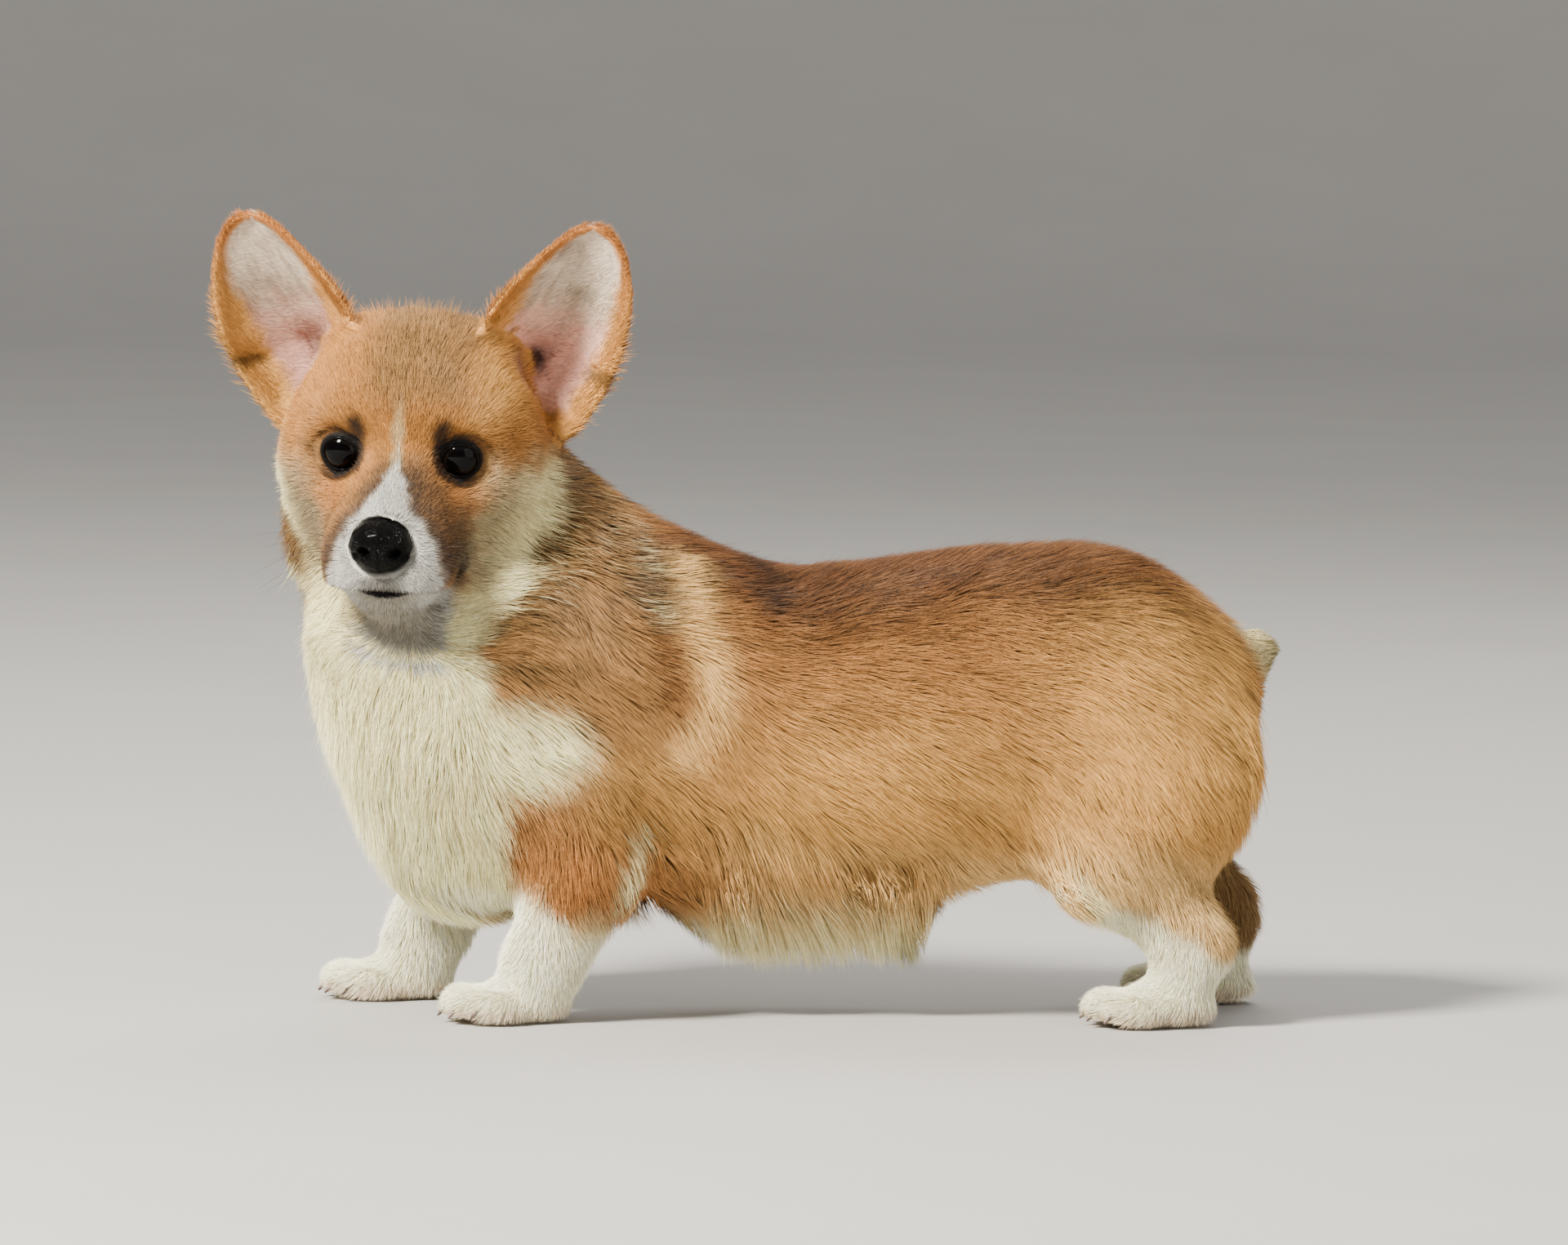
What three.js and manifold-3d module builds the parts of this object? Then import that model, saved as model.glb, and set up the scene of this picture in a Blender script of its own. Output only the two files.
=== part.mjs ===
// Pembroke Welsh corgi puppy standing with its head turned to its own left.
// Millimetres, +Z up, the dog looks along -Y and its left side is +X.

import * as THREE from 'three';
import Module from 'manifold-3d';

const wasm = await Module();
wasm.setup();

// Driving dimensions

const GAP = 0.3;
const SHORTEST_EDGE = 0.05;
const WITHERS_HEIGHT = 189;
const LOIN_HEIGHT = 190;
const TRUNK_HALF_WIDTH = 63;
const CHEST_YAW = 28;
const EYE_RADIUS = 9.6;
const EYE_SPACING = 44.8;
const NOSE_LENGTH = 21;
const NOSE_WIDTH = 25.5;
const NOSE_HEIGHT = 22;
const EAR_THICKNESS = 4.6;
const CLAW_LENGTH = 6;
const CLAW_ROOT_RADIUS = 1.9;
const CLAW_TIP_RADIUS = 0.6;
const CLAW_ROOT_HEIGHT = 6.6;
const CLAW_TIP_HEIGHT = 2.8;

// Head place and turn

const HEAD_ORIGIN = [18, -149.2, 234];
const HEAD_YAW = 78;
const HEAD_PITCH = 16;
const HEAD_ROLL = 2;

// Triangle budgets of the free forms

const BODY_TRIANGLES = 2300;
const HEAD_TRIANGLES = 1600;
const PAW_TRIANGLES = 230;

// Grid cells that the free forms are drawn on

const BODY_CELL = 5;
const HEAD_CELL = 3;
const PAW_CELL = 2.3;

// Colours of the finishes

const FINISH = {
  fawn: { color: 0xc98f55, roughness: 0.95 },
  tan: { color: 0xb9743a, roughness: 0.95 },
  cream: { color: 0xe9dcc0, roughness: 0.95 },
  ear: { color: 0xd08c55, roughness: 0.9 },
  nose: { color: 0x14110f, roughness: 0.35 },
  eye: { color: 0x120b08, roughness: 0.08 },
  claw: { color: 0xb9a48c, roughness: 0.4 },
};

const radians = THREE.MathUtils.degToRad;

// Signed distance pieces. Each returns a function of x, y and z.

function ellipsoid(centre, radii, yaw = 0, pitch = 0) {
  const [cx, cy, cz] = centre;
  const [rx, ry, rz] = radii;
  const cosYaw = Math.cos(radians(yaw));
  const sinYaw = Math.sin(radians(yaw));
  const cosPitch = Math.cos(radians(pitch));
  const sinPitch = Math.sin(radians(pitch));
  return (x, y, z) => {
    const dx = x - cx;
    const dy = y - cy;
    const dz = z - cz;
    const side = dx * cosYaw + dy * sinYaw;
    const along = -dx * sinYaw + dy * cosYaw;
    const length = along * cosPitch + dz * sinPitch;
    const height = -along * sinPitch + dz * cosPitch;
    const a = side / rx;
    const b = length / ry;
    const c = height / rz;
    const near = Math.hypot(a, b, c);
    const slope = Math.hypot(a / rx, b / ry, c / rz);
    return slope < 1e-9 ? -Math.min(rx, ry, rz) : near * (near - 1) / slope;
  };
}

function limb(start, startRadius, end, endRadius) {
  const [ax, ay, az] = start;
  const bx = end[0] - ax;
  const by = end[1] - ay;
  const bz = end[2] - az;
  const lengthSquared = bx * bx + by * by + bz * bz;
  return (x, y, z) => {
    const px = x - ax;
    const py = y - ay;
    const pz = z - az;
    const raw = (px * bx + py * by + pz * bz) / lengthSquared;
    const t = Math.min(1, Math.max(0, raw));
    const away = Math.hypot(px - bx * t, py - by * t, pz - bz * t);
    return away - (startRadius + (endRadius - startRadius) * t);
  };
}

function smoothValue(rows, at, column) {
  let index = 0;
  while (index < rows.length - 2 && at > rows[index + 1][0]) {
    index += 1;
  }
  const before = rows[Math.max(0, index - 1)];
  const from = rows[index];
  const to = rows[index + 1];
  const after = rows[Math.min(rows.length - 1, index + 2)];
  const span = to[0] - from[0];
  const t = Math.min(1, Math.max(0, (at - from[0]) / span));
  const slopeFrom = (to[column] - before[column]) / (to[0] - before[0]) * span;
  const slopeTo = (after[column] - from[column]) / (after[0] - from[0]) * span;
  const t2 = t * t;
  const t3 = t2 * t;
  return (2 * t3 - 3 * t2 + 1) * from[column] + (t3 - 2 * t2 + t) * slopeFrom
    + (-2 * t3 + 3 * t2) * to[column] + (t3 - t2) * slopeTo;
}

// A body lofted along y from rows of y, top, bottom, half width and centre x.

function loft(rows, power, widest) {
  const first = rows[0][0];
  const last = rows[rows.length - 1][0];
  return (x, y, z) => {
    const at = Math.min(last, Math.max(first, y));
    const top = smoothValue(rows, at, 1);
    const bottom = smoothValue(rows, at, 2);
    const half = smoothValue(rows, at, 3);
    const side = Math.abs(x - smoothValue(rows, at, 4)) / half;
    const middle = bottom + (top - bottom) * widest;
    const reach = z > middle ? top - middle : middle - bottom;
    const lift = Math.abs(z - middle) / reach;
    const ring = Math.pow(Math.pow(side, power) + Math.pow(lift, power), 1 / power);
    const inside = (ring - 1) * Math.min(half, reach);
    const beyond = Math.abs(y - at);
    return beyond > 0 ? Math.hypot(Math.max(inside, 0), beyond) : inside;
  };
}

function smoothJoin(a, b, width) {
  const h = Math.max(width - Math.abs(a - b), 0) / width;
  return Math.min(a, b) - h * h * width * 0.25;
}

function smoothCut(a, b, width) {
  return -smoothJoin(-a, b, width);
}

function blend(width, pieces) {
  return (x, y, z) => {
    let value = pieces[0](x, y, z);
    for (let i = 1; i < pieces.length; i += 1) {
      value = smoothJoin(value, pieces[i](x, y, z), width);
    }
    return value;
  };
}

function meet(a, b) {
  return (x, y, z) => Math.max(a(x, y, z), b(x, y, z));
}

function boxField(low, high) {
  return (x, y, z) => Math.max(low[0] - x, x - high[0], low[1] - y, y - high[1],
    low[2] - z, z - high[2]);
}

// Trunk: back line, belly line and half width along the spine

const TRUNK_ROWS = [
  [-80, WITHERS_HEIGHT - 3, 52, 54, 4],
  [-36, WITHERS_HEIGHT, 44, TRUNK_HALF_WIDTH - 2, 1],
  [-3, 180, 42, TRUNK_HALF_WIDTH, 0],
  [25, 181.5, 42, TRUNK_HALF_WIDTH, 0],
  [50, 185, 44, TRUNK_HALF_WIDTH - 1, 0],
  [75, 188.5, 50, TRUNK_HALF_WIDTH - 3, 0],
  [95, LOIN_HEIGHT, 54, TRUNK_HALF_WIDTH - 4, 0],
  [118, LOIN_HEIGHT - 1, 56, TRUNK_HALF_WIDTH - 4, 0],
  [138, 183, 62, TRUNK_HALF_WIDTH - 8, 0],
  [158, 168, 72, TRUNK_HALF_WIDTH - 19, 0],
  [172, 148, 88, TRUNK_HALF_WIDTH - 38, 0],
];

const FRINGE_ROWS = [
  [-62, 66, 39, 24, 4],
  [-48, 66, 26, 31, 4],
  [-25, 68, 19, 35, 4],
  [0, 68, 18, 36, 4],
  [30, 68, 18, 35, 4],
  [50, 68, 18.5, 31, 4],
  [57, 68, 21, 26, 4],
];

const trunkField = blend(16, [
  loft(TRUNK_ROWS, 2.2, 0.46),
  ellipsoid([0, 128, 121], [59, 66, 64]),
  loft(FRINGE_ROWS, 2.4, 0.6),
]);

const chestField = blend(16, [
  ellipsoid([6, -120, 116], [60, 68, 62], CHEST_YAW),
  ellipsoid([4, -124, 70], [42, 44, 36.5], CHEST_YAW),
  ellipsoid([34, -92, 112], [31, 42, 52], 15),
  ellipsoid([-26, -130, 112], [31, 40, 52], 40),
]);

const neckField = blend(14, [
  ellipsoid([14, -131, 146], [52, 64, 46]),
  ellipsoid([-4, -149, 190], [38, 55, 42]),
  limb([-8, -112, 198], 38, [0, -50, 145], 38),
  ellipsoid([-19, -138, 207], [30, 45, 34]),
]);

// Legs. Each fore leg: elbow, wrist and paw. Each hind leg: knee, hock and paw.

const FORE_LEFT = {
  shoulder: [40, -84, 88],
  elbow: [43, -80, 62],
  wrist: [41, -95, 27],
  paw: [42, -110],
  yaw: 22,
};
const FORE_RIGHT = {
  shoulder: [-42, -126, 88],
  elbow: [-44, -122, 62],
  wrist: [-38, -138, 28],
  paw: [-38, -153],
  yaw: 12,
};
const HIND_LEFT = {
  hip: [30, 146, 100],
  knee: [37, 124, 66],
  hock: [42, 164, 36],
  paw: [42, 146],
  yaw: 10,
};
const HIND_RIGHT = {
  hip: [-30, 152, 98],
  knee: [-36, 144, 64],
  hock: [-42, 186, 42],
  paw: [-42, 172],
  yaw: -4,
};

function forelegField(leg) {
  return blend(8, [
    limb(leg.shoulder, 30, leg.elbow, 22),
    limb(leg.elbow, 22, leg.wrist, 16.5),
    limb(leg.wrist, 16.5, [leg.paw[0], leg.paw[1] + 9, 13], 15),
    ellipsoid([leg.elbow[0] + 2, leg.elbow[1] + 10, 60], [14, 13, 20]),
  ]);
}

function hindlegField(leg) {
  return blend(10, [
    ellipsoid(leg.hip, [32, 46, 48]),
    limb([leg.hip[0] + 4, leg.hip[1] - 10, 80], 36, leg.knee, 25),
    limb(leg.knee, 23, leg.hock, 14.5),
    limb(leg.hock, 14, [leg.paw[0], leg.paw[1] + 9, 13], 14.5),
  ]);
}

const PAW_LENGTH = 27;
const TOE_SIDES = [-13.5, -4.8, 4.8, 13.5];
const TOE_REACH = [15, 19.5, 19.5, 15];
const TOE_HEIGHT = 7.2;

function pawPoint(leg, side, forward, height) {
  const cosYaw = Math.cos(radians(leg.yaw));
  const sinYaw = Math.sin(radians(leg.yaw));
  return [
    leg.paw[0] + side * cosYaw + forward * sinYaw,
    leg.paw[1] + side * sinYaw - forward * cosYaw,
    height,
  ];
}

function pawField(leg) {
  const pad = ellipsoid(pawPoint(leg, 0, -5, 8.2), [17, PAW_LENGTH - 5, 10.8], leg.yaw);
  const toes = TOE_SIDES.map((side, index) => ellipsoid(
    pawPoint(leg, side, TOE_REACH[index] - 3, TOE_HEIGHT),
    [6.3, 12.5, 8.2],
    leg.yaw + side * -0.9,
    -8,
  ));
  return blend(3.2, [pad, ...toes]);
}

const tailField = ellipsoid([0, 189, 147], [9, 10.5, 9.5], 0, -30);

// Head in its own frame: x forward, y to the dog's left, z up, eyes level with z = 0.

const EYE_X = 31;
const NOSE_CENTRE = [80, -1, -21.8];
const MUZZLE_ROWS = [
  [-70, -8, -56, 23, 0],
  [-56, -6, -57, 26.5, 0],
  [-42, 1, -56, 31, 0],
  [-26, 12, -54, 36, 0],
  [-8, 24, -50, 40, 0],
];

const skullField = blend(12, [
  ellipsoid([-6, 0, 6], [48, 45.5, 39]),
  ellipsoid([14, 0, 12], [26, 38, 27]),
  ellipsoid([3, 32, -15], [35, 23.5, 33]),
  ellipsoid([3, -32, -15], [35, 23, 33]),
  ellipsoid([16, 0, -38], [38, 30, 24]),
  ellipsoid([-20, 26, 20], [17, 12, 17]),
  ellipsoid([-20, -26, 20], [17, 12, 17]),
  ellipsoid([26, 21, 13], [12, 13, 8]),
  ellipsoid([26, -21, 13], [12, 13, 8]),
]);

const muzzleLoft = loft(MUZZLE_ROWS, 2.4, 0.45);

const muzzlePads = blend(5, [
  ellipsoid([65, 0, -29], [19, 24.5, 22]),
  ellipsoid([68, 10, -36], [17, 15, 14]),
  ellipsoid([68, -10, -36], [17, 15, 14]),
  ellipsoid([62, 0, -49], [19, 15, 10]),
  limb([44, 0, -10], 13, [76, 0, -17], 10),
]);

const socketLeft = ellipsoid([45, 27, 0], [12, 10, 8.5], 18);
const socketRight = ellipsoid([45, -27, 0], [12, 10, 8.5], -18);

function muzzleField(x, y, z) {
  return smoothJoin(muzzleLoft(y, -x, z), muzzlePads(x, y, z), 6);
}

function headFrameField(x, y, z) {
  const joined = smoothJoin(skullField(x, y, z), muzzleField(x, y, z), 9);
  const once = smoothCut(joined, socketLeft(x, y, z), 6);
  return smoothCut(once, socketRight(x, y, z), 6);
}

const headMatrix = (() => {
  const yaw = radians(HEAD_YAW);
  const pitch = radians(HEAD_PITCH);
  const roll = radians(HEAD_ROLL);
  const level = new THREE.Vector3(Math.sin(yaw), -Math.cos(yaw), 0);
  const left = new THREE.Vector3(Math.cos(yaw), Math.sin(yaw), 0);
  const up = new THREE.Vector3(0, 0, 1);
  const forward = level.clone().multiplyScalar(Math.cos(pitch)).addScaledVector(up, -Math.sin(pitch));
  const crown = up.clone().multiplyScalar(Math.cos(pitch)).addScaledVector(level, Math.sin(pitch));
  const side = left.clone().multiplyScalar(Math.cos(roll)).addScaledVector(crown, -Math.sin(roll));
  const top = crown.clone().multiplyScalar(Math.cos(roll)).addScaledVector(left, Math.sin(roll));
  const matrix = new THREE.Matrix4().makeBasis(forward, side, top);
  matrix.setPosition(...HEAD_ORIGIN);
  return matrix;
})();

const headInverse = headMatrix.clone().invert().elements;

function headField(x, y, z) {
  const e = headInverse;
  return headFrameField(
    e[0] * x + e[4] * y + e[8] * z + e[12],
    e[1] * x + e[5] * y + e[9] * z + e[13],
    e[2] * x + e[6] * y + e[10] * z + e[14],
  );
}

// The whole flesh as one field, its pieces joined by fillets of these widths

const LEG_JOIN = 9;
const PAW_JOIN = 5;
const TAIL_JOIN = 6;
const HEAD_JOIN = 10;

const legFields = [
  forelegField(FORE_LEFT),
  forelegField(FORE_RIGHT),
  hindlegField(HIND_LEFT),
  hindlegField(HIND_RIGHT),
];
const pawFields = [FORE_LEFT, FORE_RIGHT, HIND_LEFT, HIND_RIGHT].map(pawField);
const torsoField = blend(18, [trunkField, chestField, neckField]);

function fleshField(x, y, z) {
  let value = torsoField(x, y, z);
  for (const leg of legFields) {
    value = smoothJoin(value, leg(x, y, z), LEG_JOIN);
  }
  for (const paw of pawFields) {
    value = smoothJoin(value, paw(x, y, z), PAW_JOIN);
  }
  value = smoothJoin(value, tailField(x, y, z), TAIL_JOIN);
  return smoothJoin(value, headField(x, y, z), HEAD_JOIN);
}

// Surface of a field on a grid of cubes, one point in every cube the surface crosses

function gridSurface(field, low, high, cell) {
  const count = [0, 1, 2].map((axis) => Math.ceil((high[axis] - low[axis]) / cell) + 4);
  const [nx, ny, nz] = count;
  const start = low.map((value) => value - cell * 1.35);
  const limited = meet(field, boxField(low, high));
  const samples = new Float64Array(nx * ny * nz);
  const at = (i, j, k) => (k * ny + j) * nx + i;
  for (let k = 0; k < nz; k += 1) {
    for (let j = 0; j < ny; j += 1) {
      for (let i = 0; i < nx; i += 1) {
        samples[at(i, j, k)] = limited(start[0] + i * cell, start[1] + j * cell, start[2] + k * cell);
      }
    }
  }
  clearSaddles(samples, count);
  const points = [];
  const pointOf = new Int32Array(nx * ny * nz).fill(-1);
  for (let k = 0; k < nz - 1; k += 1) {
    for (let j = 0; j < ny - 1; j += 1) {
      for (let i = 0; i < nx - 1; i += 1) {
        const place = crossing(samples, at, i, j, k);
        if (place) {
          pointOf[at(i, j, k)] = points.length / 3;
          points.push(start[0] + (i + place[0]) * cell);
          points.push(start[1] + (j + place[1]) * cell);
          points.push(start[2] + (k + place[2]) * cell);
        }
      }
    }
  }
  const faces = [];
  const quad = (a, b, c, d, flip) => {
    if (flip) faces.push(a, c, b, a, d, c);
    else faces.push(a, b, c, a, c, d);
  };
  for (let k = 1; k < nz - 1; k += 1) {
    for (let j = 1; j < ny - 1; j += 1) {
      for (let i = 1; i < nx - 1; i += 1) {
        const inside = samples[at(i, j, k)] < 0;
        if (inside !== samples[at(i + 1, j, k)] < 0) {
          quad(pointOf[at(i, j - 1, k - 1)], pointOf[at(i, j, k - 1)],
            pointOf[at(i, j, k)], pointOf[at(i, j - 1, k)], !inside);
        }
        if (inside !== samples[at(i, j + 1, k)] < 0) {
          quad(pointOf[at(i - 1, j, k - 1)], pointOf[at(i - 1, j, k)],
            pointOf[at(i, j, k)], pointOf[at(i, j, k - 1)], !inside);
        }
        if (inside !== samples[at(i, j, k + 1)] < 0) {
          quad(pointOf[at(i - 1, j - 1, k)], pointOf[at(i, j - 1, k)],
            pointOf[at(i, j, k)], pointOf[at(i - 1, j, k)], !inside);
        }
      }
    }
  }
  settle(points, limited, cell);
  return { points, faces };
}

// A grid face whose corners alternate in and out would pinch the surface: its outer corner
// nearest the surface is taken in, so that no edge has more than two faces

function clearSaddles(samples, count) {
  const steps = [1, count[0], count[0] * count[1]];
  let changed = true;
  for (let pass = 0; changed && pass < 12; pass += 1) {
    changed = false;
    for (let first = 0; first < samples.length - steps[2] - steps[1] - 1; first += 1) {
      for (const [u, v] of [[steps[0], steps[1]], [steps[0], steps[2]], [steps[1], steps[2]]]) {
        const corners = [first, first + u, first + u + v, first + v];
        const inside = corners.map((corner) => samples[corner] < 0);
        if (inside[0] === inside[2] && inside[1] === inside[3] && inside[0] !== inside[1]) {
          const outer = corners.filter((_, n) => !inside[n]);
          const chosen = samples[outer[0]] < samples[outer[1]] ? outer[0] : outer[1];
          samples[chosen] = -1e-3;
          changed = true;
        }
      }
    }
  }
}

const CUBE_EDGES = [
  [0, 1], [2, 3], [4, 5], [6, 7], [0, 2], [1, 3], [4, 6], [5, 7], [0, 4], [1, 5], [2, 6], [3, 7],
];

function crossing(samples, at, i, j, k) {
  const sum = [0, 0, 0];
  let found = 0;
  for (const [from, to] of CUBE_EDGES) {
    const a = samples[at(i + (from & 1), j + ((from >> 1) & 1), k + (from >> 2))];
    const b = samples[at(i + (to & 1), j + ((to >> 1) & 1), k + (to >> 2))];
    if (a < 0 !== b < 0) {
      const t = a / (a - b);
      sum[0] += (from & 1) + ((to & 1) - (from & 1)) * t;
      sum[1] += ((from >> 1) & 1) + (((to >> 1) & 1) - ((from >> 1) & 1)) * t;
      sum[2] += (from >> 2) + ((to >> 2) - (from >> 2)) * t;
      found += 1;
    }
  }
  return found ? sum.map((value) => value / found) : null;
}

// Moves every point onto the surface of the field, by less than half a cell

function settle(points, field, cell) {
  const step = cell * 0.05;
  for (let p = 0; p < points.length; p += 3) {
    let [x, y, z] = [points[p], points[p + 1], points[p + 2]];
    const home = [x, y, z];
    for (let turn = 0; turn < 3; turn += 1) {
      const value = field(x, y, z);
      const gx = (field(x + step, y, z) - field(x - step, y, z)) / (2 * step);
      const gy = (field(x, y + step, z) - field(x, y - step, z)) / (2 * step);
      const gz = (field(x, y, z + step) - field(x, y, z - step)) / (2 * step);
      const steep = gx * gx + gy * gy + gz * gz;
      if (steep < 1e-4) break;
      x -= gx * value / steep;
      y -= gy * value / steep;
      z -= gz * value / steep;
    }
    if (Math.hypot(x - home[0], y - home[1], z - home[2]) < cell * 0.5) {
      points[p] = x;
      points[p + 1] = y;
      points[p + 2] = z;
    }
  }
}

// Fewer triangles: the edge whose loss changes the form least goes first

function quadricOf(a, b, c) {
  const ux = b[0] - a[0];
  const uy = b[1] - a[1];
  const uz = b[2] - a[2];
  const vx = c[0] - a[0];
  const vy = c[1] - a[1];
  const vz = c[2] - a[2];
  let nx = uy * vz - uz * vy;
  let ny = uz * vx - ux * vz;
  let nz = ux * vy - uy * vx;
  const twice = Math.hypot(nx, ny, nz) || 1e-12;
  nx /= twice;
  ny /= twice;
  nz /= twice;
  const d = -(nx * a[0] + ny * a[1] + nz * a[2]);
  const w = twice / 2;
  return [nx * nx, nx * ny, nx * nz, nx * d, ny * ny, ny * nz, ny * d, nz * nz, nz * d, d * d]
    .map((value) => value * w);
}

function quadricCost(q, p) {
  const [x, y, z] = p;
  return q[0] * x * x + 2 * q[1] * x * y + 2 * q[2] * x * z + 2 * q[3] * x + q[4] * y * y
    + 2 * q[5] * y * z + 2 * q[6] * y + q[7] * z * z + 2 * q[8] * z + q[9];
}

function bestPlace(q, a, b) {
  const middle = [(a[0] + b[0]) / 2, (a[1] + b[1]) / 2, (a[2] + b[2]) / 2];
  const hold = 1e-3 * (q[0] + q[4] + q[7]) + 1e-9;
  const m = new THREE.Matrix3().set(
    q[0] + hold, q[1], q[2],
    q[1], q[4] + hold, q[5],
    q[2], q[5], q[7] + hold,
  );
  const right = new THREE.Vector3(
    hold * middle[0] - q[3],
    hold * middle[1] - q[6],
    hold * middle[2] - q[8],
  );
  const found = right.applyMatrix3(m.invert());
  const place = [found.x, found.y, found.z];
  const reach = Math.hypot(a[0] - b[0], a[1] - b[1], a[2] - b[2]);
  const away = Math.hypot(place[0] - middle[0], place[1] - middle[1], place[2] - middle[2]);
  return away < reach ? place : middle;
}

function heapPush(heap, item) {
  heap.push(item);
  let child = heap.length - 1;
  while (child > 0) {
    const parent = (child - 1) >> 1;
    if (heap[parent].cost <= heap[child].cost) break;
    [heap[parent], heap[child]] = [heap[child], heap[parent]];
    child = parent;
  }
}

function heapPop(heap) {
  const top = heap[0];
  const last = heap.pop();
  if (heap.length === 0) return top;
  heap[0] = last;
  let parent = 0;
  for (;;) {
    const left = parent * 2 + 1;
    const right = left + 1;
    let small = parent;
    if (left < heap.length && heap[left].cost < heap[small].cost) small = left;
    if (right < heap.length && heap[right].cost < heap[small].cost) small = right;
    if (small === parent) return top;
    [heap[parent], heap[small]] = [heap[small], heap[parent]];
    parent = small;
  }
}

function turnsOver(points, before, face, moved, place) {
  const corner = (index, spot) => (moved.includes(index) ? spot : points[index]);
  const normal = (a, b, c) => {
    const u = [b[0] - a[0], b[1] - a[1], b[2] - a[2]];
    const v = [c[0] - a[0], c[1] - a[1], c[2] - a[2]];
    return [u[1] * v[2] - u[2] * v[1], u[2] * v[0] - u[0] * v[2], u[0] * v[1] - u[1] * v[0]];
  };
  const old = normal(...before);
  const now = normal(corner(face[0], place), corner(face[1], place), corner(face[2], place));
  const dot = old[0] * now[0] + old[1] * now[1] + old[2] * now[2];
  const oldSize = Math.hypot(...old);
  if (oldSize < 1e-3) return false;
  return dot < 0.25 * oldSize * Math.hypot(...now);
}

function decimate(mesh, target, shortest = SHORTEST_EDGE) {
  const points = [];
  for (let i = 0; i < mesh.points.length; i += 3) {
    points.push([mesh.points[i], mesh.points[i + 1], mesh.points[i + 2]]);
  }
  const faces = [];
  for (let i = 0; i < mesh.faces.length; i += 3) {
    faces.push([mesh.faces[i], mesh.faces[i + 1], mesh.faces[i + 2]]);
  }
  const facesOf = points.map(() => new Set());
  const quadrics = points.map(() => new Array(10).fill(0));
  faces.forEach((face, index) => {
    const q = quadricOf(points[face[0]], points[face[1]], points[face[2]]);
    for (const vertex of face) {
      facesOf[vertex].add(index);
      for (let n = 0; n < 10; n += 1) {
        quadrics[vertex][n] += q[n];
      }
    }
  });
  const age = new Int32Array(points.length);
  const heap = [];
  const neighbours = (vertex) => {
    const found = new Set();
    for (const index of facesOf[vertex]) {
      faces[index].forEach((other) => found.add(other));
    }
    found.delete(vertex);
    return found;
  };
  const offer = (a, b) => {
    const q = quadrics[a].map((value, n) => value + quadrics[b][n]);
    const place = bestPlace(q, points[a], points[b]);
    const long = Math.hypot(...points[a].map((value, n) => value - points[b][n]));
    const cost = long < shortest ? long - shortest : quadricCost(q, place) + 1e-4 * long * long;
    heapPush(heap, { cost, a, b, place, q, stamp: age[a] + age[b] });
  };
  points.forEach((_, a) => {
    for (const b of neighbours(a)) {
      if (a < b) {
        offer(a, b);
      }
    }
  });
  let left = faces.length;
  while (heap.length > 0 && (left > target || heap[0].cost < 0)) {
    const edge = heapPop(heap);
    const { a, b, place } = edge;
    if (facesOf[a].size === 0 || facesOf[b].size === 0 || edge.stamp !== age[a] + age[b]) continue;
    const around = neighbours(a);
    if (!around.has(b)) continue;
    const shared = [...neighbours(b)].filter((vertex) => around.has(vertex));
    if (shared.length !== 2) continue;
    const both = [...facesOf[a]].filter((index) => facesOf[b].has(index));
    if (both.length !== 2) continue;
    const rest = [...facesOf[a], ...facesOf[b]].filter((index) => !both.includes(index));
    const bad = rest.some((index) => turnsOver(points, faces[index].map((v) => points[v]),
      faces[index], [a, b], place));
    if (bad) continue;
    for (const index of both) {
      for (const vertex of faces[index]) {
        facesOf[vertex].delete(index);
      }
      faces[index] = null;
    }
    left -= 2;
    for (const index of facesOf[b]) {
      faces[index] = faces[index].map((vertex) => (vertex === b ? a : vertex));
      facesOf[a].add(index);
    }
    facesOf[b].clear();
    points[a] = place;
    quadrics[a] = edge.q;
    age[a] += age[b] + 1;
    for (const other of neighbours(a)) {
      offer(a, other);
    }
  }
  const kept = new Map();
  const outPoints = [];
  const outFaces = [];
  for (const face of faces) {
    if (!face) continue;
    for (const vertex of face) {
      if (!kept.has(vertex)) {
        kept.set(vertex, outPoints.length / 3);
        outPoints.push(...points[vertex]);
      }
      outFaces.push(kept.get(vertex));
    }
  }
  return { points: outPoints, faces: outFaces };
}

// Passage between meshes and solids

function solidOf(mesh) {
  return new wasm.Manifold(new wasm.Mesh({
    numProp: 3,
    vertProperties: new Float32Array(mesh.points),
    triVerts: new Uint32Array(mesh.faces),
  }));
}

function solidOfGeometry(geometry) {
  const bare = geometry.clone();
  bare.deleteAttribute('normal');
  bare.deleteAttribute('uv');
  const merged = mergePoints(bare);
  return solidOf(merged);
}

function mergePoints(geometry) {
  const position = geometry.getAttribute('position');
  const index = geometry.getIndex();
  const seen = new Map();
  const points = [];
  const placeOf = [];
  for (let i = 0; i < position.count; i += 1) {
    const values = [position.getX(i), position.getY(i), position.getZ(i)];
    const key = values.map((value) => Math.round(value * 1e4)).join(',');
    if (!seen.has(key)) {
      seen.set(key, points.length / 3);
      points.push(...values);
    }
    placeOf.push(seen.get(key));
  }
  const faces = [];
  const total = index ? index.count : position.count;
  for (let i = 0; i < total; i += 3) {
    const face = [0, 1, 2].map((n) => placeOf[index ? index.getX(i + n) : i + n]);
    if (face[0] !== face[1] && face[1] !== face[2] && face[0] !== face[2]) faces.push(...face);
  }
  return { points, faces };
}

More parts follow.
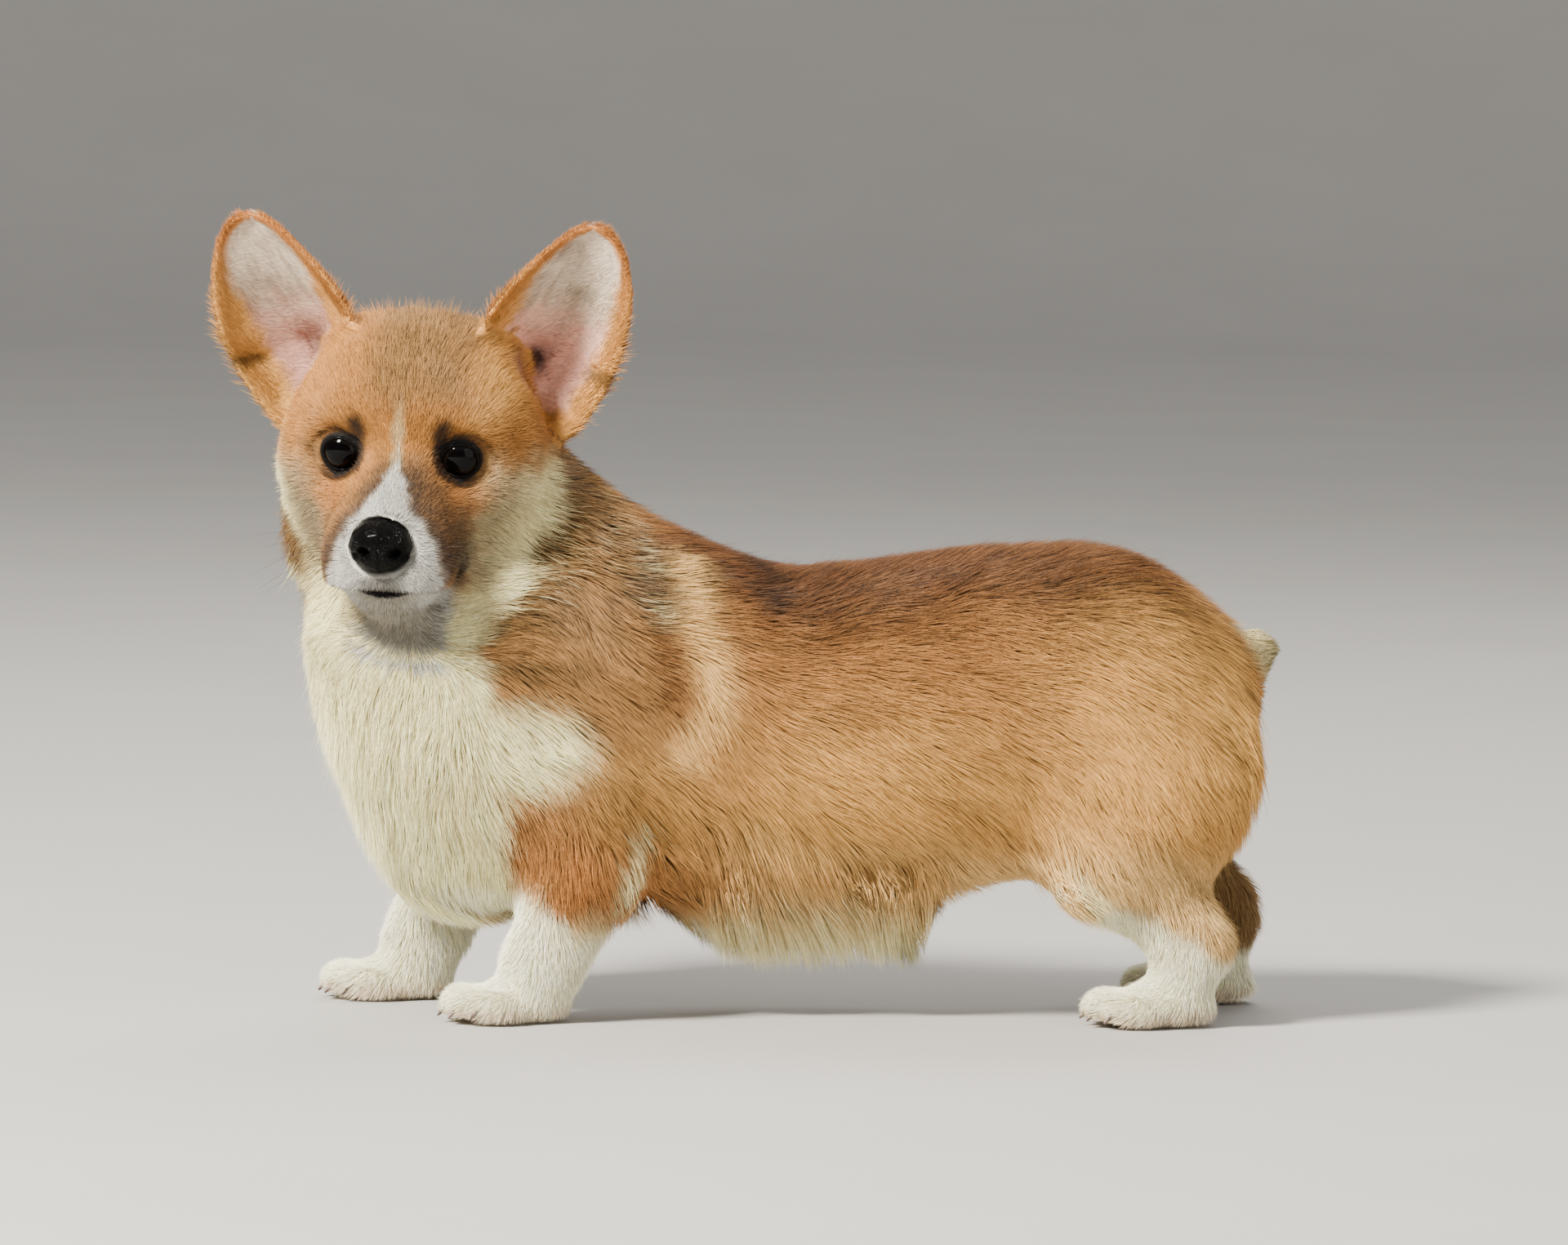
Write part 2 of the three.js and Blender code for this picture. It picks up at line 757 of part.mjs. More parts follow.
function geometryOf(solid) {
  const mesh = solid.getMesh();
  const geometry = new THREE.BufferGeometry();
  const stride = mesh.numProp;
  const positions = new Float32Array(mesh.vertProperties.length / stride * 3);
  for (let i = 0; i < positions.length / 3; i += 1) {
    positions[i * 3] = mesh.vertProperties[i * stride];
    positions[i * 3 + 1] = mesh.vertProperties[i * stride + 1];
    positions[i * 3 + 2] = mesh.vertProperties[i * stride + 2];
  }
  const clean = decimate({ points: positions, faces: mesh.triVerts }, Infinity);
  geometry.setAttribute('position', new THREE.Float32BufferAttribute(clean.points, 3));
  geometry.setIndex(clean.faces);
  geometry.computeVertexNormals();
  return geometry;
}

// A box between two corners, turned about its own middle, grown on every side

function boxSolid(low, high, turn = [0, 0, 0], grow = 0) {
  const size = low.map((value, axis) => high[axis] - value + grow * 2);
  const box = new THREE.BoxGeometry(...size);
  box.applyMatrix4(new THREE.Matrix4().makeRotationFromEuler(new THREE.Euler(...turn.map(radians))));
  box.translate(...low.map((value, axis) => (value + high[axis]) / 2));
  return solidOfGeometry(box);
}

// Takes the part of a solid inside a box and gives back that part and the rest, a gap apart

function carve(solid, low, high, turn) {
  return {
    taken: largest(solid.intersect(boxSolid(low, high, turn))),
    rest: largest(solid.subtract(boxSolid(low, high, turn, GAP))),
  };
}

function largest(solid) {
  const pieces = solid.decompose();
  return pieces.reduce((best, piece) => (piece.volume() > best.volume() ? piece : best));
}

// Flesh solids

const FLOOR_BOX = boxSolid([-300, -400, -60], [300, 400, 0]);

function fleshSolid(low, high, cell, triangles) {
  return solidOf(decimate(gridSurface(fleshField, low, high, cell), triangles)).subtract(FLOOR_BOX);
}

const pieces = [];

function keep(name, solid, finish) {
  pieces.push({ name, geometry: geometryOf(solid), finish });
}

// Head and body are parted by a plane that rises from the throat to the nape

const HEAD_CUT_LOW = [-170, -260, 186];
const HEAD_CUT_HIGH = [190, -78, 390];
const HEAD_CUT_TURN = [0, 27, 0];

let body = fleshSolid([-85, -215, -3], [90, 212, 262], BODY_CELL, BODY_TRIANGLES);
body = largest(body.subtract(boxSolid(HEAD_CUT_LOW, HEAD_CUT_HIGH, HEAD_CUT_TURN, GAP)));
let head = fleshSolid([-60, -232, 120], [125, -60, 300], HEAD_CELL, HEAD_TRIANGLES);
head = largest(head.intersect(boxSolid(HEAD_CUT_LOW, HEAD_CUT_HIGH, HEAD_CUT_TURN)));

// Nose: a rounded body with two nostrils

function roundBody(centre, size, across, down) {
  const shape = new THREE.SphereGeometry(1, across, down);
  shape.rotateZ(Math.PI / 2);
  shape.scale(size[0] / 2, size[1] / 2, size[2] / 2);
  shape.translate(...centre);
  shape.applyMatrix4(headMatrix);
  return solidOfGeometry(shape);
}

const NOSTRIL_CENTRE = [90.5, 6.4, -22];
const NOSTRIL_SIZE = [8, 5, 5];
const NOSE_SIZE = [NOSE_LENGTH, NOSE_WIDTH, NOSE_HEIGHT];
let nose = roundBody(NOSE_CENTRE, NOSE_SIZE, 12, 9);
for (const side of [-1, 1]) {
  const [forward, across, height] = NOSTRIL_CENTRE;
  nose = nose.subtract(roundBody([forward, side * across, height], NOSTRIL_SIZE, 6, 4));
}
head = head.subtract(roundBody(NOSE_CENTRE, NOSE_SIZE.map((value) => value + GAP * 2), 12, 9));

// Eyes

for (const [name, side] of [['eye_left', 1], ['eye_right', -1]]) {
  const centre = [EYE_X, side * EYE_SPACING / 2, 0];
  const wide = EYE_RADIUS * 2;
  keep(name, roundBody(centre, [wide, wide, wide], 12, 8), FINISH.eye);
  const socket = wide + GAP * 2;
  head = head.subtract(roundBody(centre, [socket, socket, socket], 12, 8));
}

// Lower jaw, parted from the head along the line of the mouth

const JAW_LOW = [47, -21, -62];
const JAW_HIGH = [110, 21, -43.5];

function jawBox(grow) {
  const size = JAW_LOW.map((value, axis) => JAW_HIGH[axis] - value + grow * 2);
  const box = new THREE.BoxGeometry(...size);
  box.rotateY(radians(-7));
  box.translate(...JAW_LOW.map((value, axis) => (value + JAW_HIGH[axis]) / 2));
  box.applyMatrix4(headMatrix);
  return solidOfGeometry(box);
}

const lowerJaw = largest(head.intersect(jawBox(0)));
head = largest(head.subtract(jawBox(GAP)));

// Ears: cupped leaves between an inner and an outer edge

const EAR_INNER_EDGE = [
  [-4, 20, 8],
  [-2, 22.5, 29],
  [-3, 28, 45],
  [-5, 38, 59.5],
  [-8, 50, 72],
  [-11, 59.5, 79],
  [-12, 68, 82],
];
const EAR_OUTER_EDGE = [
  [-18, 47, -21],
  [-16, 66, 1],
  [-11, 78.5, 27],
  [-10, 83, 48],
  [-11, 82.5, 66],
  [-12, 77, 77.5],
  [-12, 68, 82],
];
const EAR_CUP_DEPTH = [12, 22, 20, 13, 7.5, 4, 2];
const EAR_TIP_RAISE = { ear_left: 0, ear_right: -3 };
const EAR_ROWS = 10;
const EAR_COLUMNS = 8;

function earCurve(points) {
  return new THREE.CatmullRomCurve3(points.map((point) => new THREE.Vector3(...point)));
}

const innerEdge = earCurve(EAR_INNER_EDGE);
const outerEdge = earCurve(EAR_OUTER_EDGE);
const cupDepth = new THREE.SplineCurve(EAR_CUP_DEPTH.map((depth, n) => new THREE.Vector2(n, depth)));

function earPoint(t, s) {
  const point = innerEdge.getPoint(t).lerp(outerEdge.getPoint(t), (s + 1) / 2);
  point.x -= cupDepth.getPoint(t).y * (1 - Math.abs(s) ** 2.2);
  return point;
}

function earNormal(t, s) {
  const step = 0.02;
  const t0 = Math.min(0.93, Math.max(step, t));
  const along = earPoint(t0 + step, s).sub(earPoint(t0 - step, s));
  const across = earPoint(t0, Math.min(1, s + step)).sub(earPoint(t0, Math.max(-1, s - step)));
  const normal = along.cross(across).normalize();
  return normal.x > 0 ? normal.negate() : normal;
}

function earGeometry(side, raise) {
  const front = [];
  const back = [];
  for (let row = 0; row <= EAR_ROWS; row += 1) {
    const t = 1 - (1 - row / EAR_ROWS) ** 1.25;
    for (let column = 0; column <= EAR_COLUMNS; column += 1) {
      const s = column / EAR_COLUMNS * 2 - 1;
      const point = earPoint(t, s);
      point.z += raise * t;
      const thick = EAR_THICKNESS * (1 - 0.5 * s ** 4) * (1 - 0.4 * t ** 4);
      front.push(point);
      back.push(point.clone().addScaledVector(earNormal(t, row < EAR_ROWS ? s : 0), thick));
    }
  }
  const points = [...front, ...back].flatMap((point) => [point.x, point.y * side, point.z]);
  const width = EAR_COLUMNS + 1;
  const offset = front.length;
  const faces = [];
  const quad = (a, b, c, d) => faces.push(a, b, c, a, c, d);
  for (let row = 0; row < EAR_ROWS; row += 1) {
    for (let column = 0; column < EAR_COLUMNS; column += 1) {
      const a = row * width + column;
      quad(a, a + 1, a + 1 + width, a + width);
      quad(offset + a, offset + a + width, offset + a + 1 + width, offset + a + 1);
    }
    const first = row * width;
    const last = first + EAR_COLUMNS;
    quad(first, first + width, offset + first + width, offset + first);
    quad(last, offset + last, offset + last + width, last + width);
  }
  for (let column = 0; column < EAR_COLUMNS; column += 1) {
    quad(column, offset + column, offset + column + 1, column + 1);
  }
  const top = EAR_ROWS * width;
  for (let column = 0; column < EAR_COLUMNS; column += 1) {
    quad(top + column, top + column + 1, offset + top + column + 1, offset + top + column);
  }
  if (side < 0) {
    for (let i = 0; i < faces.length; i += 3) {
      [faces[i + 1], faces[i + 2]] = [faces[i + 2], faces[i + 1]];
    }
  }
  const geometry = new THREE.BufferGeometry();
  geometry.setAttribute('position', new THREE.Float32BufferAttribute(points, 3));
  geometry.setIndex(faces);
  geometry.applyMatrix4(headMatrix);
  return geometry;
}

function grown(geometry, amount) {
  const copy = geometry.clone();
  const position = copy.getAttribute('position');
  const normal = copy.getAttribute('normal');
  for (let i = 0; i < position.count; i += 1) {
    position.setXYZ(i, position.getX(i) + normal.getX(i) * amount,
      position.getY(i) + normal.getY(i) * amount, position.getZ(i) + normal.getZ(i) * amount);
  }
  return copy;
}

const headGrown = solidOfGeometry(grown(geometryOf(head), GAP));
for (const [name, side] of [['ear_left', 1], ['ear_right', -1]]) {
  const whole = solidOfGeometry(earGeometry(side, EAR_TIP_RAISE[name]));
  const ear = largest(whole.subtract(headGrown));
  keep(name, ear, FINISH.ear);
}

keep('head', head, FINISH.tan);
keep('lower_jaw', lowerJaw, FINISH.cream);
keep('nose', nose, FINISH.nose);

// Claws: four on every paw, each a short tapered hook

const CLAW_RINGS = 3;
const CLAW_SIDES = 5;

function clawGeometry(leg, toe, extra) {
  const side = TOE_SIDES[toe];
  const reach = TOE_REACH[toe] + 3.5;
  const points = [];
  for (let ring = 0; ring < CLAW_RINGS; ring += 1) {
    const t = ring / (CLAW_RINGS - 1);
    const forward = reach + CLAW_LENGTH * t;
    const height = CLAW_ROOT_HEIGHT - (CLAW_ROOT_HEIGHT - CLAW_TIP_HEIGHT) * t * t;
    const radius = CLAW_ROOT_RADIUS - (CLAW_ROOT_RADIUS - CLAW_TIP_RADIUS) * t + extra;
    for (let n = 0; n < CLAW_SIDES; n += 1) {
      const angle = n / CLAW_SIDES * Math.PI * 2;
      const lean = radius * Math.sin(angle);
      points.push(...pawPoint(leg, side * (1 + 0.06 * t) + radius * Math.cos(angle) * 0.8,
        forward + lean * t * 0.7 + extra * (2 * t - 1), height + lean));
    }
  }
  const faces = [];
  for (let ring = 0; ring < CLAW_RINGS - 1; ring += 1) {
    for (let n = 0; n < CLAW_SIDES; n += 1) {
      const a = ring * CLAW_SIDES + n;
      const b = ring * CLAW_SIDES + (n + 1) % CLAW_SIDES;
      faces.push(a, b, b + CLAW_SIDES, a, b + CLAW_SIDES, a + CLAW_SIDES);
    }
  }
  const end = (CLAW_RINGS - 1) * CLAW_SIDES;
  for (let n = 1; n < CLAW_SIDES - 1; n += 1) {
    faces.push(0, n + 1, n);
    faces.push(end, end + n, end + n + 1);
  }
  const geometry = new THREE.BufferGeometry();
  geometry.setAttribute('position', new THREE.Float32BufferAttribute(points, 3));
  geometry.setIndex(faces);
  return geometry;
}

// Legs: a box takes every part out of the body, from the paw upward

const LEG_PARTS = {
  fore_left: {
    leg: FORE_LEFT,
    paw: [[10, -150, -1], [76, -74, 19]],
    lower: ['forearm_left', [14, -150, 19], [82, -60, 61]],
    upper: ['upper_arm_left', [25, -150, 61], [92, -60, 112]],
  },
  fore_right: {
    leg: FORE_RIGHT,
    paw: [[-76, -192, -1], [-8, -112, 19]],
    lower: ['forearm_right', [-82, -185, 19], [-17, -100, 61]],
    upper: ['upper_arm_right', [-92, -185, 61], [-27, -102, 112]],
  },
  hind_left: {
    leg: HIND_LEFT,
    paw: [[10, 96, -1], [76, 186, 20]],
    lower: ['shank_left', [8, 92, 20], [80, 196, 61]],
    upper: ['thigh_left', [12, 94, 61], [92, 214, 128]],
  },
  hind_right: {
    leg: HIND_RIGHT,
    paw: [[-76, 125, -1], [-10, 214, 20]],
    lower: ['shank_right', [-80, 118, 20], [-8, 214, 61]],
    upper: ['thigh_right', [-92, 104, 61], [-12, 214, 128]],
  },
};

const PAW_NAMES = {
  fore_left: 'forepaw_left',
  fore_right: 'forepaw_right',
  hind_left: 'hindpaw_left',
  hind_right: 'hindpaw_right',
};

for (const [key, part] of Object.entries(LEG_PARTS)) {
  const [pawLow, pawHigh] = part.paw;
  const around = [pawLow.map((value) => value - 5), pawHigh.map((value) => value + 5)];
  let paw = fleshSolid(around[0], around[1], PAW_CELL, PAW_TRIANGLES);
  paw = largest(paw.intersect(boxSolid(pawLow, pawHigh)));
  body = largest(body.subtract(boxSolid(pawLow, pawHigh, [0, 0, 0], GAP)));
  for (let toe = 0; toe < 4; toe += 1) {
    const claw = solidOfGeometry(clawGeometry(part.leg, toe, 0));
    paw = paw.subtract(solidOfGeometry(clawGeometry(part.leg, toe, GAP)));
    keep(`claw_${key}_${toe + 1}`, claw, FINISH.claw);
  }
  keep(PAW_NAMES[key], largest(paw), FINISH.cream);
  const [lowerName, lowerLow, lowerHigh] = part.lower;
  const lower = carve(body, lowerLow, lowerHigh);
  keep(lowerName, lower.taken, FINISH.tan);
  const [upperName, upperLow, upperHigh] = part.upper;
  const upper = carve(lower.rest, upperLow, upperHigh);
  keep(upperName, upper.taken, FINISH.tan);
  body = upper.rest;
}

// Tail, rump, neck, chest and barrel

const tail = carve(body, [-16, 183, 136], [16, 215, 170], [-28, 0, 0]);
keep('tail', tail.taken, FINISH.cream);
const rump = carve(tail.rest, [-120, 98, -20], [120, 260, 240]);
keep('rump', rump.taken, FINISH.fawn);
const neck = carve(rump.rest, [-120, -290, 152], [120, -52, 320], [-24, 0, 0]);
keep('neck', neck.taken, FINISH.cream);
const chest = carve(neck.rest, [-130, -290, -20], [130, -62, 260]);
keep('chest', chest.taken, FINISH.cream);
keep('barrel', chest.rest, FINISH.fawn);

// Assembly, with the middle of the whole box over the origin and the soles on z = 0

const dog = new THREE.Group();
dog.name = 'corgi_puppy';
const stance = new THREE.Group();
stance.name = 'stance';
for (const { name, geometry, finish } of pieces) {
  const material = new THREE.MeshStandardMaterial({
    color: finish.color,
    roughness: finish.roughness,
    metalness: 0,
  });
  const mesh = new THREE.Mesh(geometry, material);
  mesh.name = name;
  stance.add(mesh);
}
const extent = new THREE.Box3().setFromObject(stance);
const middle = extent.getCenter(new THREE.Vector3());
stance.position.set(-middle.x, -middle.y, -extent.min.z);
dog.add(stance);

export default dog;
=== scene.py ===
"""Pembroke Welsh corgi puppy: skin, coat, eyes, nose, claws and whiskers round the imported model.

Sizes are millimetres in the row frame unless a name says otherwise, and meshes are written in metres.
"""

import logging
import math
from dataclasses import dataclass, field
from enum import Enum

import bmesh
import bpy
import numpy as np
from bpy.types import ID, Material, Mesh, Node, NodeSocket, Object
from mathutils import Matrix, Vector
from mathutils.bvhtree import BVHTree
from mathutils.kdtree import KDTree


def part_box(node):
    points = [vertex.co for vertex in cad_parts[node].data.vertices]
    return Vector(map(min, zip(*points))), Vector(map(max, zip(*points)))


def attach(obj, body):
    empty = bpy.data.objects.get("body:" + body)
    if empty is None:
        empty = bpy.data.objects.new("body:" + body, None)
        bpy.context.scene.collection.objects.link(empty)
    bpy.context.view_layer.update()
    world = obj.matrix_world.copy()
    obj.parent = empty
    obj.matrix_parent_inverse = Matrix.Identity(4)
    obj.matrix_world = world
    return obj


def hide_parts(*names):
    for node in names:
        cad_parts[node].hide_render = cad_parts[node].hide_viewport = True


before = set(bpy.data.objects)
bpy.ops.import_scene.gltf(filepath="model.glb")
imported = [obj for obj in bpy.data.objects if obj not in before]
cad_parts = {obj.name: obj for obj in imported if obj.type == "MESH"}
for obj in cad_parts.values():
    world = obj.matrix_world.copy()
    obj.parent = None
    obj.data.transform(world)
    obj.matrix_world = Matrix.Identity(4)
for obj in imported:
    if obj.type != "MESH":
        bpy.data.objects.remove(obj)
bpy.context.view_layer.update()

LOG = logging.getLogger("corgi")
METRES = 0.001
SEED = 41
UP = np.array([0.0, 0.0, 1.0])

Array = np.ndarray
Place = tuple[float, float, float]
Line = tuple[Place, ...]


# Small helpers on arrays


def unit(vectors: Array) -> Array:
    """Vectors of length one along the last axis."""
    length = np.linalg.norm(vectors, axis=-1, keepdims=True)
    return vectors / np.maximum(length, 1e-9)


def norms(vectors: Array) -> Array:
    """Length of every row."""
    return np.linalg.norm(vectors, axis=1)


def bell(values: Array, middle: float, width: float) -> Array:
    """A soft hump of height 1."""
    return np.exp(-((values - middle) / width) ** 2)


def ramp(low: float, high: float, values: Array) -> Array:
    """A smooth step from 0 at low to 1 at high, which may be the smaller of the two."""
    t = np.clip((values - low) / (high - low), 0.0, 1.0)
    return t * t * (3.0 - 2.0 * t)


def dot(a: Array, b: Array) -> Array:
    """Row by row product of two sets of vectors."""
    return np.einsum("ij,ij->i", a, np.broadcast_to(b, a.shape))


def paint(colour: tuple[int, int, int]) -> Array:
    """A colour given in display values from 0 to 255, as linear light."""
    value = np.array(colour, float) / 255.0
    return np.where(value <= 0.04045, value / 12.92, ((value + 0.055) / 1.055) ** 2.4)


class Grain:
    """Smooth random values in space, the same on every run."""

    CELLS = 32
    ORIGIN = 1000.0

    def __init__(self, seed: int) -> None:
        """Fills the lattice from the random sequence of a seed."""
        self.lattice = np.random.default_rng(seed).uniform(-1.0, 1.0, (self.CELLS,) * 3)

    def at(self, points: Array, size: float) -> Array:
        """Values from -1 to 1 at points.

        Args:
            points: places, one a row.
            size: width of one cell of the pattern.

        Returns:
            One value a point.
        """
        scaled = points / size + self.ORIGIN
        base = np.floor(scaled).astype(int)
        t = scaled - base
        t = t * t * (3.0 - 2.0 * t)
        total = np.zeros(len(points))
        for corner in range(8):
            step = np.array([corner & 1, (corner >> 1) & 1, corner >> 2])
            weight = np.prod(np.where(step, t, 1.0 - t), axis=1)
            cell = (base + step) % self.CELLS
            total += weight * self.lattice[cell[:, 0], cell[:, 1], cell[:, 2]]
        return total


GRAIN = Grain(SEED)
SIDE_GRAIN = Grain(SEED + 1)


# The dog's own frames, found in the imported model


@dataclass(frozen=True)
class Axes:
    """A frame of reference: an origin and three axes at right angles."""

    origin: Array
    forward: Array
    left: Array
    up: Array

    def into(self, points: Array) -> Array:
        """Points of the row frame, given in this frame."""
        return (points - self.origin) @ self.matrix().T

    def out(self, points: Array) -> Array:
        """Points of this frame, given in the row frame."""
        return points @ self.matrix() + self.origin

    def turn_out(self, vectors: Array) -> Array:
        """Directions of this frame, given in the row frame."""
        return vectors @ self.matrix()

    def matrix(self) -> Array:
        """The three axes as rows."""
        return np.stack([self.forward, self.left, self.up])


def middle_of(node: str) -> Array:
    """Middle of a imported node's box, in millimetres."""
    low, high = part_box(node)
    return (np.array(low) + np.array(high)) * 0.5 / METRES


EYE_FORWARD = 31.0
NOSE_BELOW = math.radians(24.0)


def find_head() -> Axes:
    """The head's frame: eyes level with zero, forward out of the brow, left the dog's left."""
    left_eye = middle_of("eye_left")
    right_eye = middle_of("eye_right")
    between = (left_eye + right_eye) * 0.5
    left = unit(left_eye - right_eye)
    to_nose = middle_of("nose") - between
    to_nose = unit(to_nose - left * (to_nose @ left))
    above = np.cross(to_nose, left)
    forward = to_nose * math.cos(NOSE_BELOW) + above * math.sin(NOSE_BELOW)
    up = np.cross(forward, left)
    return Axes(between - forward * EYE_FORWARD, forward, left, up)


def mirrored_left(own: Array) -> Array:
    """Places of the head's frame, with those on the right moved to their twins on the left."""
    return np.column_stack([own[:, 0], np.abs(own[:, 1]), own[:, 2]])


HEAD = find_head()
MIDLINE = float(middle_of("rump")[0])


class Region(Enum):
    """Parts of the skin that each carry coat of their own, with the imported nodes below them."""

    HEAD = ("head", "lower_jaw")
    EAR_LEFT = ("ear_left",)
    EAR_RIGHT = ("ear_right",)
    NECK = ("neck",)
    CHEST = ("chest",)
    BARREL = ("barrel",)
    RUMP = ("rump", "tail", "thigh_left", "thigh_right")
    FORELEG_LEFT = ("upper_arm_left", "forearm_left", "forepaw_left")
    FORELEG_RIGHT = ("upper_arm_right", "forearm_right", "forepaw_right")
    HINDLEG_LEFT = ("shank_left", "hindpaw_left")
    HINDLEG_RIGHT = ("shank_right", "hindpaw_right")

    @property
    def number(self) -> int:
        """The region's place in the list of all regions."""
        return REGIONS.index(self)


REGIONS = list(Region)
EARS = (Region.EAR_LEFT, Region.EAR_RIGHT)
LEGS = (Region.FORELEG_LEFT, Region.FORELEG_RIGHT, Region.HINDLEG_LEFT, Region.HINDLEG_RIGHT)


def among(numbers: Array, regions: tuple[Region, ...]) -> Array:
    """Which of the numbers are those of the given regions."""
    return np.isin(numbers, [region.number for region in regions])


# Coat map: how long, deep and thick the coat is from place to place, and which way it lies


@dataclass(frozen=True)
class Lie:
    """The coat at one place, in the dog's frame or the head's. One left of the midline has a twin."""

    at: Place
    along: Place
    length: float
    depth: float
    width: float
    clump: float = 0.3
    hang: float = 0.0


TRUNK_LIES = (
    Lie((0, -28, 189), (0, 1, -0.12), 15, 4.6, 0.46, 0.25),
    Lie((0, 20, 182), (0, 1, 0.02), 13, 4, 0.44, 0.12),
    Lie((0, 75, 187), (0, 1, 0.02), 13, 4, 0.44, 0.12),
    Lie((0, 140, 190), (0, 1, -0.2), 14, 4.6, 0.44, 0.15),
    Lie((0, 186, 168), (0, 0.7, -0.7), 16, 5.5, 0.48),
    Lie((45, -20, 165), (0, 0.9, -0.4), 14, 4.6, 0.46, 0.15),
    Lie((57, 35, 140), (0, 1, -0.22), 13, 4.2, 0.44, 0.1),
    Lie((58, 85, 130), (0, 1, -0.25), 13, 4.2, 0.44, 0.1),
    Lie((58, 40, 95), (0, 0.95, -0.45), 15, 5.4, 0.48, 0.15),
    Lie((47, 20, 62), (0, 0.4, -0.9), 24, 9, 0.5, 0.43, 0.6),
    Lie((0, 20, 42), (0, 0.15, -0.98), 32, 10, 0.5, 0.6, 1),
    Lie((28, 0, 46), (0.05, 0.15, -0.98), 32, 10, 0.5, 0.6, 1),
    Lie((26, 55, 46), (0.05, 0.15, -0.98), 30, 10, 0.5, 0.6, 1),
    Lie((25, 105, 62), (0, 0.7, -0.7), 17, 7, 0.56, 0.43, 0.3),
    Lie((57, -45, 120), (0, 0.75, -0.65), 15, 5.4, 0.46, 0.2),
    Lie((60, -85, 116), (0.15, 0.8, -0.55), 17, 6, 0.48, 0.25),
    Lie((45, -150, 120), (0.2, -0.1, -1), 18, 7, 0.5, 0.25, 0),
    Lie((25, -165, 130), (0.1, -0.15, -1), 18, 7.5, 0.5, 0.25, 0),
    Lie((5, -165, 85), (0, 0.2, -1), 20, 8.5, 0.54, 0.35, 0.2),
    Lie((5, -120, 45), (0, 0.4, -0.9), 26, 10, 0.6, 0.5, 0.7),
    Lie((35, -160, 165), (0.1, -0.1, -1), 17, 6.5, 0.5, 0.25),
    Lie((50, -75, 165), (0.25, 0.55, -0.8), 16, 6.2, 0.5),
    Lie((20, -60, 200), (0.2, 0.7, -0.7), 16, 6, 0.5),
    Lie((-25, -70, 205), (-0.1, 0.8, -0.6), 16, 6, 0.5),
    Lie((-60, -130, 165), (-0.3, 0.5, -0.9), 18, 7, 0.5),
    Lie((58, 150, 135), (0, 0.8, -0.6), 14, 4.8, 0.46, 0.15),
    Lie((56, 165, 95), (0, 0.55, -0.85), 16, 5.4, 0.48, 0.2),
    Lie((35, 203, 115), (0, 0.15, -1), 19, 7.5, 0.56, 0.43),
    Lie((0, 203, 105), (0, 0.1, -1), 18, 7, 0.56, 0.43),
    Lie((55, 130, 72), (0, 0.75, -0.75), 15, 5.4, 0.5, 0.25),
    Lie((50, 118, 62), (0, 0.8, -0.6), 19, 6.5, 0.56, 0.46, 0.5),
    Lie((0, 206, 148), (0, 1, 0.15), 16, 4, 0.5, 0.46, 0.8),
)

LEG_LIES = (
    Lie((62, -75, 90), (0, 0.35, -0.95), 13, 5, 0.46, 0.2),
    Lie((52, -75, 55), (0, 0.25, -1), 10, 3.6, 0.44, 0.15),
    Lie((42, -92, 45), (0, 0.1, -1), 8, 2.8, 0.42, 0.1),
    Lie((44, -52, 62), (0.1, 0.6, -0.85), 19, 6, 0.56, 0.46, 0.5),
    Lie((42, -78, 26), (0, -0.05, -1), 6.5, 2.3, 0.4, 0.1),
    Lie((42, -100, 16), (0, -0.6, -0.7), 5.2, 1.8, 0.38, 0.1),
    Lie((46, -117, 8), (0.2, -0.9, -0.35), 4.2, 1.3, 0.36, 0.1),
    Lie((50, 150, 50), (0, 0.4, -0.9), 10, 3.6, 0.44, 0.2),
    Lie((42, 190, 52), (0, 0.1, -1), 12, 4.2, 0.48),
    Lie((42, 178, 28), (0, -0.1, -1), 6.5, 2.3, 0.4, 0.1),
    Lie((42, 160, 16), (0, -0.6, -0.7), 5.2, 1.8, 0.38, 0.1),
    Lie((44, 138, 8), (0.1, -0.9, -0.35), 4.2, 1.3, 0.36, 0.1),
)

